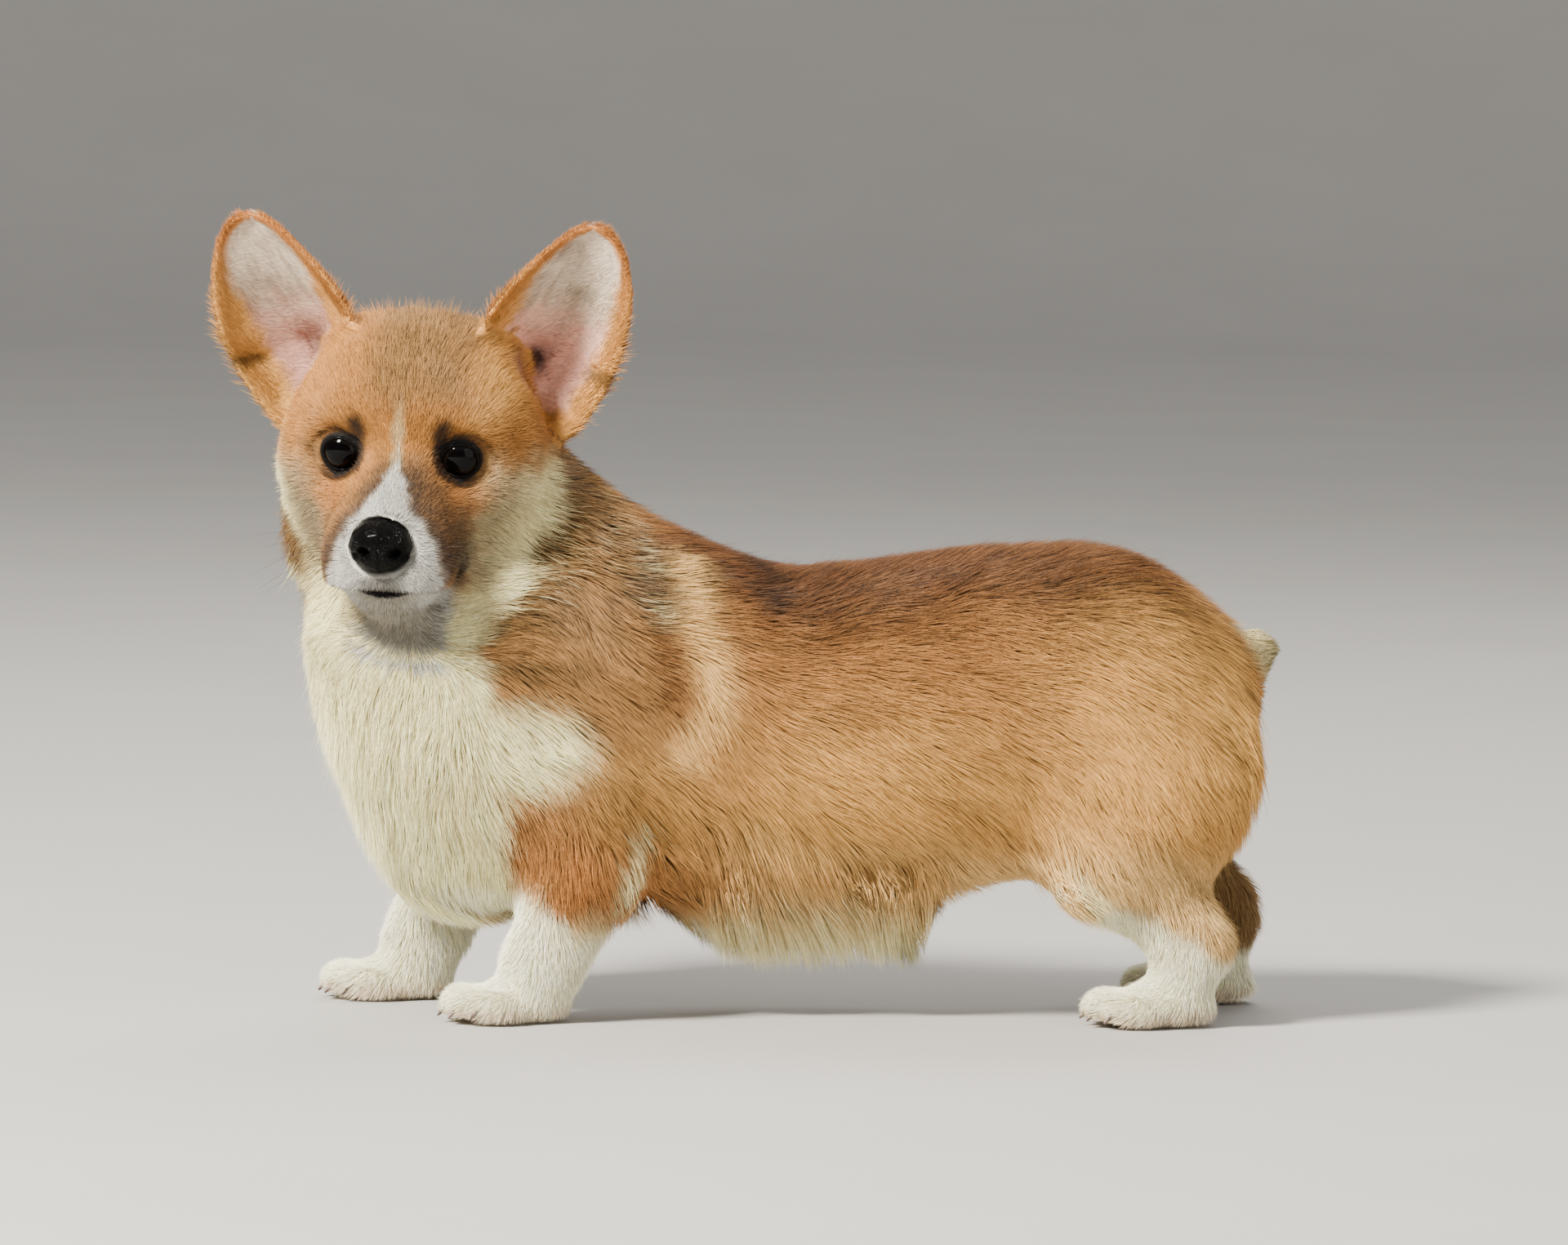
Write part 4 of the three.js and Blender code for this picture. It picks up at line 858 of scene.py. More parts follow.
class EarShape:
    """The leaf of an ear in the head's frame, between an inner and an outer edge."""

    INNER = ((-4, 20, 8), (-2, 22.5, 29), (-3, 28, 45), (-5, 38, 59.5), (-8, 50, 72),
             (-11, 59.5, 79), (-12, 68, 82))
    OUTER = ((-18, 47, -21), (-16, 66, 1), (-11, 78.5, 27), (-10, 83, 48), (-11, 82.5, 66),
             (-12, 77, 77.5), (-12, 68, 82))
    CUP = ((12,), (22,), (20,), (13,), (7.5,), (4,), (2,))
    ROWS = 110
    COLUMNS = 61
    PIT = 3.2

    def __init__(self) -> None:
        """Samples the front of the leaf."""
        t, s = np.meshgrid(np.linspace(0, 0.99, self.ROWS), np.linspace(-1, 1, self.COLUMNS), indexing="ij")
        t = t.ravel()
        s = s.ravel()
        inner = self.row(self.INNER, t)
        outer = self.row(self.OUTER, t)
        self.front = inner + (outer - inner) * ((s + 1) / 2)[:, None]
        self.front[:, 0] -= self.row(self.CUP, t)[:, 0] * (1 - np.abs(s) ** 2.2)
        self.spots = np.column_stack([t, s])
        self.tree = KDTree(len(self.front))
        for number, point in enumerate(self.front):
            self.tree.insert(point, number)
        self.tree.balance()

    @staticmethod
    def row(table: tuple[tuple[float, ...], ...], t: Array) -> Array:
        """Values of a table at t, from 0 at its first row to 1 at its last."""
        values = np.array(table, float)
        at = t * (len(values) - 1)
        low = np.minimum(at.astype(int), len(values) - 2)
        share = (at - low)[:, None]
        return values[low] * (1 - share) + values[low + 1] * share

    def place(self, own: Array) -> tuple[Array, Array, Array]:
        """Where points lie on the leaf.

        Args:
            own: points in the head's frame, on the left side.

        Returns:
            Share of the way to the tip, place across from -1 to 1, and depth behind the front.
        """
        nearest = np.array([self.tree.find(point)[1] for point in own])
        t, s = self.spots[nearest].T
        return t, s, self.front[nearest, 0] - own[:, 0] + self.relief(t, s)

    def relief(self, t: Array, s: Array) -> Array:
        """How far the ridges stand out of the front of the leaf, and the pit sinks into it."""
        pit = -self.PIT * np.exp(-((t - 0.20) / 0.07) ** 2 - ((s + 0.12) / 0.26) ** 2)
        ridge = 1.2 * bell(s - 0.1 - 0.5 * (t - 0.2), 0, 0.1) * ramp(0.5, 0.3, t)
        second = 0.9 * bell(s, -0.62, 0.09) * ramp(0.65, 0.45, t)
        notch = -1.2 * bell(t - 0.27 - 0.1 * (s - 0.9), 0, 0.022) * ramp(0.45, 0.7, s)
        return (pit + ridge + second) * ramp(0.02, 0.1, t) + notch


EAR_SHAPE = EarShape()


def on_leaf(points: Array, side: int) -> tuple[Array, Array, Array]:
    """Where points lie on the leaf of the left or right ear."""
    return EAR_SHAPE.place(ear_own(points, side))


# Meshes as arrays


COLOUR_LAYER = "coat_colour"


@dataclass
class Surface:
    """A surface of triangles, in millimetres."""

    points: Array
    faces: Array
    edges: Array = field(init=False)

    def __post_init__(self) -> None:
        """Lists each edge once."""
        pairs = np.concatenate([self.faces[:, [0, 1]], self.faces[:, [1, 2]], self.faces[:, [2, 0]]])
        pairs = np.sort(pairs, axis=1)
        keys = np.unique(pairs[:, 0].astype(np.int64) * len(self.points) + pairs[:, 1])
        self.edges = np.column_stack([keys // len(self.points), keys % len(self.points)])

    def crosses(self) -> Array:
        """Normal of every face, as long as twice its area."""
        a, b, c = (self.points[self.faces[:, n]] for n in range(3))
        return np.cross(b - a, c - a)

    def normals(self) -> Array:
        """Unit normal at every point."""
        cross = self.crosses()
        total = np.zeros_like(self.points)
        for corner in range(3):
            for axis in range(3):
                total[:, axis] += np.bincount(self.faces[:, corner], cross[:, axis], len(total))
        return unit(total)

    def mean(self, values: Array) -> Array:
        """For each point, the mean of the values at its neighbours."""
        a, b = self.edges.T
        size = len(self.points)
        count = np.maximum(np.bincount(a, minlength=size) + np.bincount(b, minlength=size), 1)
        flat = values.reshape(size, -1)
        out = np.empty_like(flat)
        for n in range(flat.shape[1]):
            out[:, n] = np.bincount(a, flat[b, n], size) + np.bincount(b, flat[a, n], size)
        return (out / count[:, None]).reshape(values.shape)

    def smooth(self, rounds: int, share: Array | float, regain: float = 0.0) -> None:
        """Evens the surface out.

        Args:
            rounds: how many times.
            share: how far each point moves to the mean of its neighbours.
            regain: part of each move that is undone in the next, against shrinking.
        """
        weight = np.broadcast_to(share, len(self.points))[:, None]
        for _ in range(rounds):
            self.points = self.points + (self.mean(self.points) - self.points) * weight
            if regain:
                self.points = self.points - (self.mean(self.points) - self.points) * weight * regain

    def tree(self) -> BVHTree:
        """A search tree of the surface, in millimetres."""
        return BVHTree.FromPolygons(self.points.tolist(), self.faces.tolist())


def mesh_of(name: str, points: Array, faces: Array) -> Mesh:
    """A mesh of triangles.

    Args:
        name: name of the mesh.
        points: corners in millimetres.
        faces: three numbers of corners each.

    Returns:
        The mesh, in metres.
    """
    mesh = bpy.data.meshes.new(name)
    mesh.vertices.add(len(points))
    mesh.vertices.foreach_set("co", (points * METRES).astype(np.float32).ravel())
    mesh.loops.add(len(faces) * 3)
    mesh.loops.foreach_set("vertex_index", faces.astype(np.int32).ravel())
    mesh.polygons.add(len(faces))
    mesh.polygons.foreach_set("loop_start", np.arange(0, len(faces) * 3, 3, dtype=np.int32))
    mesh.polygons.foreach_set("use_smooth", np.ones(len(faces), bool))
    mesh.update(calc_edges=True)
    return mesh


def thing_of(name: str, data: ID) -> Object:
    """An object for a mesh, lamp or camera, linked to the scene."""
    thing = bpy.data.objects.new(name, data)
    bpy.context.scene.collection.objects.link(thing)
    return thing


def shaped(name: str, surface: Surface, material: Material) -> Object:
    """An object for a surface, with its material."""
    mesh = mesh_of(name, surface.points, surface.faces)
    mesh.materials.append(material)
    return thing_of(name, mesh)


def stood(axes: tuple[Array, Array, Array], place: Array) -> Matrix:
    """The matrix that turns an object's x, y and z to three axes and moves it to a place, in metres."""
    turn = Matrix(np.column_stack(axes).tolist()).to_4x4()
    return Matrix.Translation(place.tolist()) @ turn


def coloured(mesh: Mesh, colours: Array) -> None:
    """Gives each corner of a mesh its colour."""
    layer = mesh.attributes.new(COLOUR_LAYER, "FLOAT_COLOR", "POINT")
    layer.data.foreach_set("color", np.column_stack([colours, np.ones(len(colours))]).ravel())


def surface_of(mesh: Mesh) -> Surface:
    """The triangles of a mesh, in millimetres."""
    points = np.empty(len(mesh.vertices) * 3, np.float32)
    mesh.vertices.foreach_get("co", points)
    mesh.calc_loop_triangles()
    faces = np.empty(len(mesh.loop_triangles) * 3, np.int32)
    mesh.loop_triangles.foreach_get("vertices", faces)
    return Surface(points.reshape(-1, 3).astype(float) / METRES, faces.reshape(-1, 3))


def evaluated(thing: Object) -> Surface:
    """What an object's modifiers make of it. The object is removed."""
    graph = bpy.context.evaluated_depsgraph_get()
    made = thing.evaluated_get(graph)
    surface = surface_of(made.to_mesh())
    made.to_mesh_clear()
    mesh = thing.data
    bpy.data.objects.remove(thing)
    bpy.data.meshes.remove(mesh)
    return surface


def remeshed(points: Array, faces: Array, voxel: float) -> Surface:
    """One closed surface round closed ones that may overlap.

    Args:
        points: corners in millimetres.
        faces: triangles.
        voxel: size of the grid in millimetres.

    Returns:
        The surface.
    """
    thing = thing_of("grid", mesh_of("grid", points, faces))
    grid = thing.modifiers.new("grid", "REMESH")
    grid.mode = "VOXEL"
    grid.voxel_size = voxel * METRES
    return evaluated(thing)


def ball(centre: Array, radius: float) -> Surface:
    """A ball of triangles, in millimetres."""
    mesh = bmesh.new()
    bmesh.ops.create_icosphere(mesh, subdivisions=4, radius=radius)
    points = np.array([vertex.co for vertex in mesh.verts]) + centre
    faces = np.array([[vertex.index for vertex in face.verts] for face in mesh.faces])
    mesh.free()
    return Surface(points, faces)


def packed_node(name: str, weld: float = 0.02) -> Surface:
    """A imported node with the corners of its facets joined."""
    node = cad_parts[name]
    mesh = bmesh.new()
    mesh.from_mesh(node.data)
    mesh.transform(node.matrix_world)
    bmesh.ops.remove_doubles(mesh, verts=mesh.verts, dist=weld * METRES)
    bmesh.ops.triangulate(mesh, faces=mesh.faces)
    copy = bpy.data.meshes.new("copy")
    mesh.to_mesh(copy)
    mesh.free()
    surface = surface_of(copy)
    bpy.data.meshes.remove(copy)
    return surface


def tube(line: Array, radius: Array | float, sides: int = 8, closed: bool = False) -> Surface:
    """A tube along a line, tapering where the radius does.

    Args:
        line: points of the middle.
        radius: one radius, or one at each point.
        sides: corners of its section.
        closed: whether the line runs round in a ring.

    Returns:
        The tube, with ends closed.
    """
    count = len(line)
    ahead = np.roll(line, -1, 0) - np.roll(line, 1, 0)
    if not closed:
        ahead[0] = line[1] - line[0]
        ahead[-1] = line[-1] - line[-2]
    ahead = unit(ahead)
    side = unit(np.cross(ahead, np.array([0.13, 0.24, 0.96])))
    up = np.cross(side, ahead)
    angle = np.arange(sides) * 2 * math.pi / sides
    ring = side[:, None] * np.cos(angle)[None, :, None] + up[:, None] * np.sin(angle)[None, :, None]
    points = line[:, None] + ring * np.broadcast_to(radius, count)[:, None, None]
    faces = []
    for n in range(count if closed else count - 1):
        after = (n + 1) % count
        for k in range(sides):
            k2 = (k + 1) % sides
            faces.append((n * sides + k, after * sides + k, after * sides + k2))
            faces.append((n * sides + k, after * sides + k2, n * sides + k2))
    if not closed:
        last = (count - 1) * sides
        for k in range(1, sides - 1):
            faces.append((0, k, k + 1))
            faces.append((last, last + k + 1, last + k))
    return Surface(points.reshape(-1, 3), np.array(faces))


def joined(parts: list[Surface]) -> Surface:
    """Several surfaces as one."""
    starts = np.cumsum([0] + [len(part.points) for part in parts[:-1]])
    points = np.concatenate([part.points for part in parts])
    faces = np.concatenate([part.faces + start for part, start in zip(parts, starts)])
    return Surface(points, faces)


# Finishes


class Nodes:
    """Short ways to lay out a material's nodes."""

    def __init__(self, name: str) -> None:
        """A new material with its shader and output."""
        self.material = bpy.data.materials.new(name)
        self.material.use_nodes = True
        self.tree = self.material.node_tree
        self.shader = self.tree.nodes["Principled BSDF"]

    @staticmethod
    def fill(node: Node, **values: object) -> None:
        """Sets sockets of a node, with spaces in their names as underscores."""
        for key, value in values.items():
            node.inputs[key.replace("_", " ")].default_value = value

    def add(self, kind: str, **values: object) -> Node:
        """A node of a kind, with properties set."""
        node = self.tree.nodes.new(kind)
        for key, value in values.items():
            setattr(node, key, value)
        return node

    def link(self, start: NodeSocket, end: NodeSocket) -> None:
        """Joins two sockets."""
        self.tree.links.new(start, end)

    def place(self) -> NodeSocket:
        """The object's own coordinates."""
        return self.add("ShaderNodeTexCoord").outputs["Object"]

    def noise(self, scale: float, detail: float = 3.0, stretch: Place = (1, 1, 1)
              ) -> NodeSocket:
        """Noise in the object's own coordinates, in metres."""
        mapping = self.add("ShaderNodeMapping")
        self.fill(mapping, Scale=stretch)
        self.link(self.place(), mapping.inputs["Vector"])
        noise = self.add("ShaderNodeTexNoise")
        self.fill(noise, Scale=scale, Detail=detail)
        self.link(mapping.outputs["Vector"], noise.inputs["Vector"])
        return noise.outputs["Fac"]

    def spread(self, value: NodeSocket, low: float, high: float, start: float = 0.3,
               end: float = 0.7) -> NodeSocket:
        """A value between start and end as one between low and high."""
        node = self.add("ShaderNodeMapRange")
        self.fill(node, From_Min=start, From_Max=end, To_Min=low, To_Max=high)
        self.link(value, node.inputs["Value"])
        return node.outputs["Result"]

    def scaled(self, colour: NodeSocket, share: NodeSocket) -> NodeSocket:
        """A colour made lighter or darker by a share."""
        node = self.add("ShaderNodeVectorMath", operation="SCALE")
        self.link(colour, node.inputs[0])
        self.link(share, node.inputs["Scale"])
        return node.outputs["Vector"]

    def bump(self, height: NodeSocket, distance: float, strength: float = 1.0) -> None:
        """Adds relief to the shader."""
        node = self.add("ShaderNodeBump")
        self.fill(node, Distance=distance, Strength=strength)
        self.link(height, node.inputs["Height"])
        self.link(node.outputs["Normal"], self.shader.inputs["Normal"])

    def blend(self, share: NodeSocket, low: Array, high: Array) -> NodeSocket:
        """A colour between two by a share."""
        node = self.add("ShaderNodeMix", data_type="RGBA")
        node.inputs[6].default_value = (*low, 1)
        node.inputs[7].default_value = (*high, 1)
        self.link(share, node.inputs[0])
        return node.outputs[2]

    def colour(self, source: NodeSocket) -> None:
        """Takes the shader's colour from a socket."""
        self.link(source, self.shader.inputs["Base Color"])

    def set(self, **values: float) -> None:
        """Sets sockets of the shader."""
        self.fill(self.shader, **values)


@dataclass(frozen=True)
class CoatFinish:
    """Dry hair: the colours of the tufts, broken up along their length."""

    name: str
    roughness: float = 0.6

    def make(self) -> Material:
        """Builds the material."""
        nodes = Nodes(self.name)
        paint_of = nodes.add("ShaderNodeAttribute", attribute_name=COLOUR_LAYER)
        fine = nodes.spread(nodes.noise(420.0, 4.0), 0.86, 1.12)
        nodes.colour(nodes.scaled(paint_of.outputs["Color"], fine))
        nodes.bump(nodes.noise(2600.0, 2.0), 0.0002, 0.5)
        nodes.set(Roughness=self.roughness, Specular_IOR_Level=0.14)
        return nodes.material


@dataclass(frozen=True)
class SkinFinish:
    """Skin under short hair: the markings, with the grain of hair that lies flat."""

    name: str

    def make(self) -> Material:
        """Builds the material."""
        nodes = Nodes(self.name)
        paint_of = nodes.add("ShaderNodeAttribute", attribute_name=COLOUR_LAYER)
        grain = nodes.noise(900.0, 5.0, (1.0, 0.35, 1.0))
        nodes.colour(nodes.scaled(paint_of.outputs["Color"], nodes.spread(grain, 0.78, 1.1)))
        nodes.bump(grain, 0.0006, 0.7)
        nodes.set(Roughness=0.75, Specular_IOR_Level=0.15)
        return nodes.material


@dataclass(frozen=True)
class LeatherFinish:
    """Moist black leather with fine cells, for nose and lids."""

    name: str
    low: tuple[int, int, int] = (2, 2, 2)
    high: tuple[int, int, int] = (5, 4, 4)
    roughness: float = 0.34
    cells: float = 1500.0
    relief: float = 0.0004

    def make(self) -> Material:
        """Builds the material."""
        nodes = Nodes(self.name)
        cells = nodes.add("ShaderNodeTexVoronoi", feature="DISTANCE_TO_EDGE")
        nodes.fill(cells, Scale=self.cells)
        nodes.link(nodes.place(), cells.inputs["Vector"])
        raised = nodes.spread(cells.outputs["Distance"], 0.0, 1.0, 0.0, 0.28)
        nodes.colour(nodes.blend(raised, paint(self.low), paint(self.high)))
        nodes.bump(raised, self.relief, 0.8)
        nodes.set(Roughness=self.roughness, Specular_IOR_Level=0.06, Coat_Weight=0.025, Coat_Roughness=0.1)
        return nodes.material


@dataclass(frozen=True)
class EyeFinish:
    """A wet eye: black pupil, dark brown iris, near-black outside. Its own +Z is where it looks."""

    name: str
    radius: float

    def make(self) -> Material:
        """Builds the material."""
        nodes = Nodes(self.name)
        split = nodes.add("ShaderNodeSeparateXYZ")
        nodes.link(nodes.place(), split.inputs[0])
        round_iris = nodes.add("ShaderNodeValToRGB")
        stops = round_iris.color_ramp.elements
        height = nodes.spread(split.outputs["Z"], 0.0, 1.0, 0.0, self.radius * METRES)
        nodes.link(height, round_iris.inputs["Fac"])
        stops[0].position = 0.0
        stops[0].color = (*paint((10, 7, 6)), 1)
        stops[1].position = 1.0
        stops[1].color = (*paint((3, 2, 3)), 1)
        for where, colour in ((0.40, (16, 10, 9)), (0.50, (6, 4, 4)), (0.64, (14, 8, 6)),
                              (0.80, (13, 8, 6)), (0.86, (3, 2, 2))):
            stop = stops.new(where)
            stop.color = (*paint(colour), 1)
        rays = nodes.spread(nodes.noise(900.0, 4.0), 0.75, 1.2)
        nodes.colour(nodes.scaled(round_iris.outputs["Color"], rays))
        nodes.set(Roughness=0.08, Specular_IOR_Level=0.08, Coat_Weight=0.05, Coat_Roughness=0.02)
        return nodes.material


@dataclass(frozen=True)
class HornFinish:
    """Horn of the claws: dark with paler streaks."""

    name: str

    def make(self) -> Material:
        """Builds the material."""
        nodes = Nodes(self.name)
        streak = nodes.spread(nodes.noise(700.0, 4.0, (1, 1, 0.3)), 0.0, 1.0)
        nodes.colour(nodes.blend(streak, paint((58, 44, 38)), paint((140, 118, 104))))
        nodes.bump(streak, 0.0001, 0.4)
        nodes.set(Roughness=0.38, Specular_IOR_Level=0.5)
        return nodes.material


@dataclass(frozen=True)
class FloorFinish:
    """A plain pale floor."""

    name: str

    def make(self) -> Material:
        """Builds the material."""
        nodes = Nodes(self.name)
        cloud = nodes.spread(nodes.noise(6.0, 3.0), 0.0, 1.0)
        nodes.colour(nodes.blend(cloud, paint((164, 162, 159)), paint((167, 165, 162))))
        nodes.bump(nodes.noise(900.0, 2.0), 0.0001, 0.1)
        nodes.set(Roughness=0.75, Specular_IOR_Level=0.3)
        return nodes.material


# Eyes, with the opening of the lids


EYE_RADIUS = 9.6


@dataclass
class Eye:
    """One eyeball and the almond opening in front of it."""

    side: int
    half_width: float = 0.73
    half_height: float = 0.68
    gaze_out: float = math.radians(14)
    tilt: float = math.radians(10)
    lid: float = 1.15
    off_middle: float = 22.4
    lower_share: float = 0.94
    shift: float = 0.05
    rim_height: float = 0.35

    @property
    def word(self) -> str:
        """The side's name."""
        return "left" if self.side > 0 else "right"

    @property
    def centre(self) -> Array:
        """Middle of the eyeball in the row frame."""
        return HEAD.out(np.array([[EYE_FORWARD, self.off_middle * self.side, 0.0]]))[0]

    def axes(self) -> tuple[Array, Array, Array]:
        """Where the eye looks, outward along the opening, and up across it."""
        out = self.gaze_out
        ahead = np.array([math.cos(out), self.side * math.sin(out), 0.0])
        across = np.array([-math.sin(out), self.side * math.cos(out), 0.0])
        up = np.array([0.0, 0.0, 1.0])
        outer = across * math.cos(self.tilt) + up * math.sin(self.tilt)
        upper = up * math.cos(self.tilt) - across * math.sin(self.tilt)
        return tuple(HEAD.turn_out(axis) for axis in (ahead, outer, upper))

    def opening(self, points: Array) -> tuple[Array, Array]:
        """How far inside the opening points are, in millimetres, and how far from the eye's middle."""
        ahead, outer, upper = self.axes()
        away = points - self.centre
        reach = norms(away)
        toward = away / np.maximum(reach, 1e-6)[:, None]
        u = toward @ outer
        v = toward @ upper
        height = self.half_height * np.where(v < 0, self.lower_share, 1.0)
        oval = np.hypot((u + self.shift) / self.half_width, v / height)
        inside = (1 - oval) * self.half_height * EYE_RADIUS
        return np.where(toward @ ahead > 0.15, inside, -9.0), reach

    def rim(self, count: int = 64) -> Array:
        """Points along the edge of the lids."""
        ahead, outer, upper = self.axes()
        turn = np.linspace(0, 2 * math.pi, count, endpoint=False)
        u = np.cos(turn) * self.half_width
        lid = self.half_height * np.sqrt(np.clip(1 - (np.abs(u) / self.half_width) ** 2, 0, 1))
        v = np.sign(np.sin(turn)) * lid * np.where(np.sin(turn) < 0, self.lower_share, 1.0)
        u = u - self.shift
        w = np.sqrt(np.clip(1 - u * u - v * v, 0.02, 1))
        spots = unit(u[:, None] * outer + v[:, None] * upper + w[:, None] * ahead)
        return self.centre + spots * (EYE_RADIUS + self.rim_height)

    def build(self) -> None:
        """Makes the eyeball with its cornea."""
        ahead, _, upper = self.axes()
        round_eye = ball(np.zeros(3), EYE_RADIUS)
        height = round_eye.points[:, 2] / EYE_RADIUS
        bulge = 0.55 * ramp(0.55, 1.0, height)
        round_eye.points = round_eye.points * (1 + bulge / EYE_RADIUS)[:, None]
        finish = EyeFinish(f"eye_{self.word}", EYE_RADIUS)
        eye = shaped(f"eyeball_{self.word}", round_eye, finish.make())
        eye.matrix_world = stood((np.cross(upper, ahead), upper, ahead), self.centre * METRES)
        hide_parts(f"eye_{self.word}")
        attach(eye, "root")
        LOG.info("eye %s built", self.word)


EYES = (Eye(1), Eye(-1))


# Skin


LIP_LINE = ((82, 0, -41.3), (81.5, 9, -41.3), (78.5, 17, -41.6), (72.5, 21.5, -42.6),
            (62.5, 25, -43.2), (54, 26.5, -42.4), (48, 28.5, -39))
PHILTRUM = ((92, 0, -31), (88, 0, -36), (84.5, 0, -41))


def lip_distance(own: Array) -> Array:
    """Distance of points of the head to the lips, less in the middle where the mouth shows open."""
    flat = np.array([0.35, 1.0, 1.0])
    mirrored = mirrored_left(own) * flat
    middle = np.clip(1 - (mirrored[:, 1] / 15.0) ** 2, 0, 1)
    away = line_distance(mirrored, tuple(tuple(np.array(spot) * flat) for spot in LIP_LINE))
    away = np.where(own[:, 0] > 40, away, 99.0)
    return away - middle * np.where(own[:, 2] < -41.3, 2.6, 1.0)


@dataclass
class Skin:
    """The one skin of the dog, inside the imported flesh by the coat's depth."""

    coats: CoatMap
    marks: Marks
    surface: Surface = field(init=False)
    region: Array = field(init=False)
    coat: Array = field(init=False)
    colour: Array = field(init=False)
    tree: BVHTree = field(init=False)
    outer: BVHTree = field(init=False)
    gap: Array = field(init=False)
    FIRST_GRID = 1.6
    FINE_GRID = 1.15
    BODY_ROUNDS = 26
    MOST_FACES = 190000
    GROWN = 0.35
    SOCKET = 2.4
    INSET_STEPS = 5
    BELLY_LEVEL = 52.0
    EAR_INSET = 0.5
    BOWL_MIDDLE = (-15.0, 47.0, 20.0)
    BOWL_SIZE = (12.0, 10.0, 17.0)

    def build(self) -> None:
        """Makes the skin and reads coat and colours on it."""
        flesh = self.gather()
        surface = remeshed(flesh.points, flesh.faces, self.FIRST_GRID)
        self.outer = surface.tree()
        LOG.info("skin: first grid %d points", len(surface.points))
        region = self.owners(surface.points)
        self.lift_belly(surface, region)
        soft = self.softness(surface, region)
        surface.smooth(self.BODY_ROUNDS, 0.5 * soft)
        surface.smooth(12, 0.5 * (1 - soft), 1.04)
        region = self.owners(surface.points)
        self.inset(surface, region)
        lids = [ball(eye.centre, EYE_RADIUS + eye.lid) for eye in EYES]
        whole = joined([surface, *lids])
        surface = remeshed(whole.points, whole.faces, self.FINE_GRID)
        LOG.info("skin: fine grid %d points", len(surface.points))
        surface.smooth(6, 0.45, 1.04)
        self.carve(surface)
        self.surface = self.thinned(surface)
        LOG.info("skin: %d triangles", len(self.surface.faces))
        self.region = self.owners(self.surface.points)
        on_ear = among(self.region, EARS)
        self.coat = self.coats.read(self.surface.points, on_ear)
        self.colour, _ = self.marks.colours(self.surface.points, self.region)
        self.colour = self.marks.bare(self.surface.points, self.colour)
        self.tree = self.surface.tree()
        find = self.outer.find_nearest
        self.gap = np.array([find(point)[3] for point in self.surface.points.tolist()])
        for _ in range(3):
            self.gap = self.surface.mean(self.gap)

    def lift_belly(self, surface: Surface, region: Array) -> None:
        """Draws the skin up out of the fringe below the belly, which is hair alone."""
        _, y, z = surface.points.T
        under = np.where(region == Region.BARREL.number, ramp(-62, -40, y) * ramp(96, 78, y), 0.0)
        for _ in range(6):
            under = surface.mean(under)
        surface.points[:, 2] += np.clip(self.BELLY_LEVEL - z, 0, 60) * 0.78 * under

    def gather(self) -> Surface:
        """All nodes of flesh, each grown a little so that the cuts between them close."""
        parts = []
        owners = []
        for number, region in enumerate(REGIONS):
            for node in region.value:
                part = packed_node(node)
                owners.append(np.full(len(part.faces), number))
                parts.append(Surface(part.points + part.normals() * self.GROWN, part.faces))
        flesh = joined(parts)
        self.owner_tree = flesh.tree()
        self.owner_of_face = np.concatenate(owners)
        return flesh

    def owners(self, points: Array) -> Array:
        """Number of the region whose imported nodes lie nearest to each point."""
        find = self.owner_tree.find_nearest
        return self.owner_of_face[[find(point)[2] for point in points.tolist()]]

    @staticmethod
    def softness(surface: Surface, region: Array) -> Array:
        """How much each point may be smoothed: least on ears, paws and face."""
        height = surface.points[:, 2]
        soft = np.where(among(region, EARS), 0.08, 1.0)
        soft = np.minimum(soft, 0.12 + 0.88 * ramp(20, 45, height))
        face = np.where(region == Region.HEAD.number, HEAD.into(surface.points)[:, 0], -99.0)
        soft = np.minimum(soft, 1.0 - 0.72 * ramp(-10, 20, face))
        for _ in range(4):
            soft = surface.mean(soft)
        return soft

    def inset(self, surface: Surface, region: Array) -> None:
        """Moves the skin in by the depth of the coat, in small steps."""
        on_ear = among(region, EARS)
        depth = self.coats.read(surface.points, on_ear)[:, DEPTH] + self.GROWN
        depth = np.where(on_ear, np.minimum(depth, self.EAR_INSET), depth)
        for _ in range(3):
            depth = surface.mean(depth)
        calm = np.where(on_ear, 0.0, 0.3)
        for _ in range(self.INSET_STEPS):
            surface.points = surface.points - surface.normals() * (depth / self.INSET_STEPS)[:, None]
            surface.smooth(2, calm)

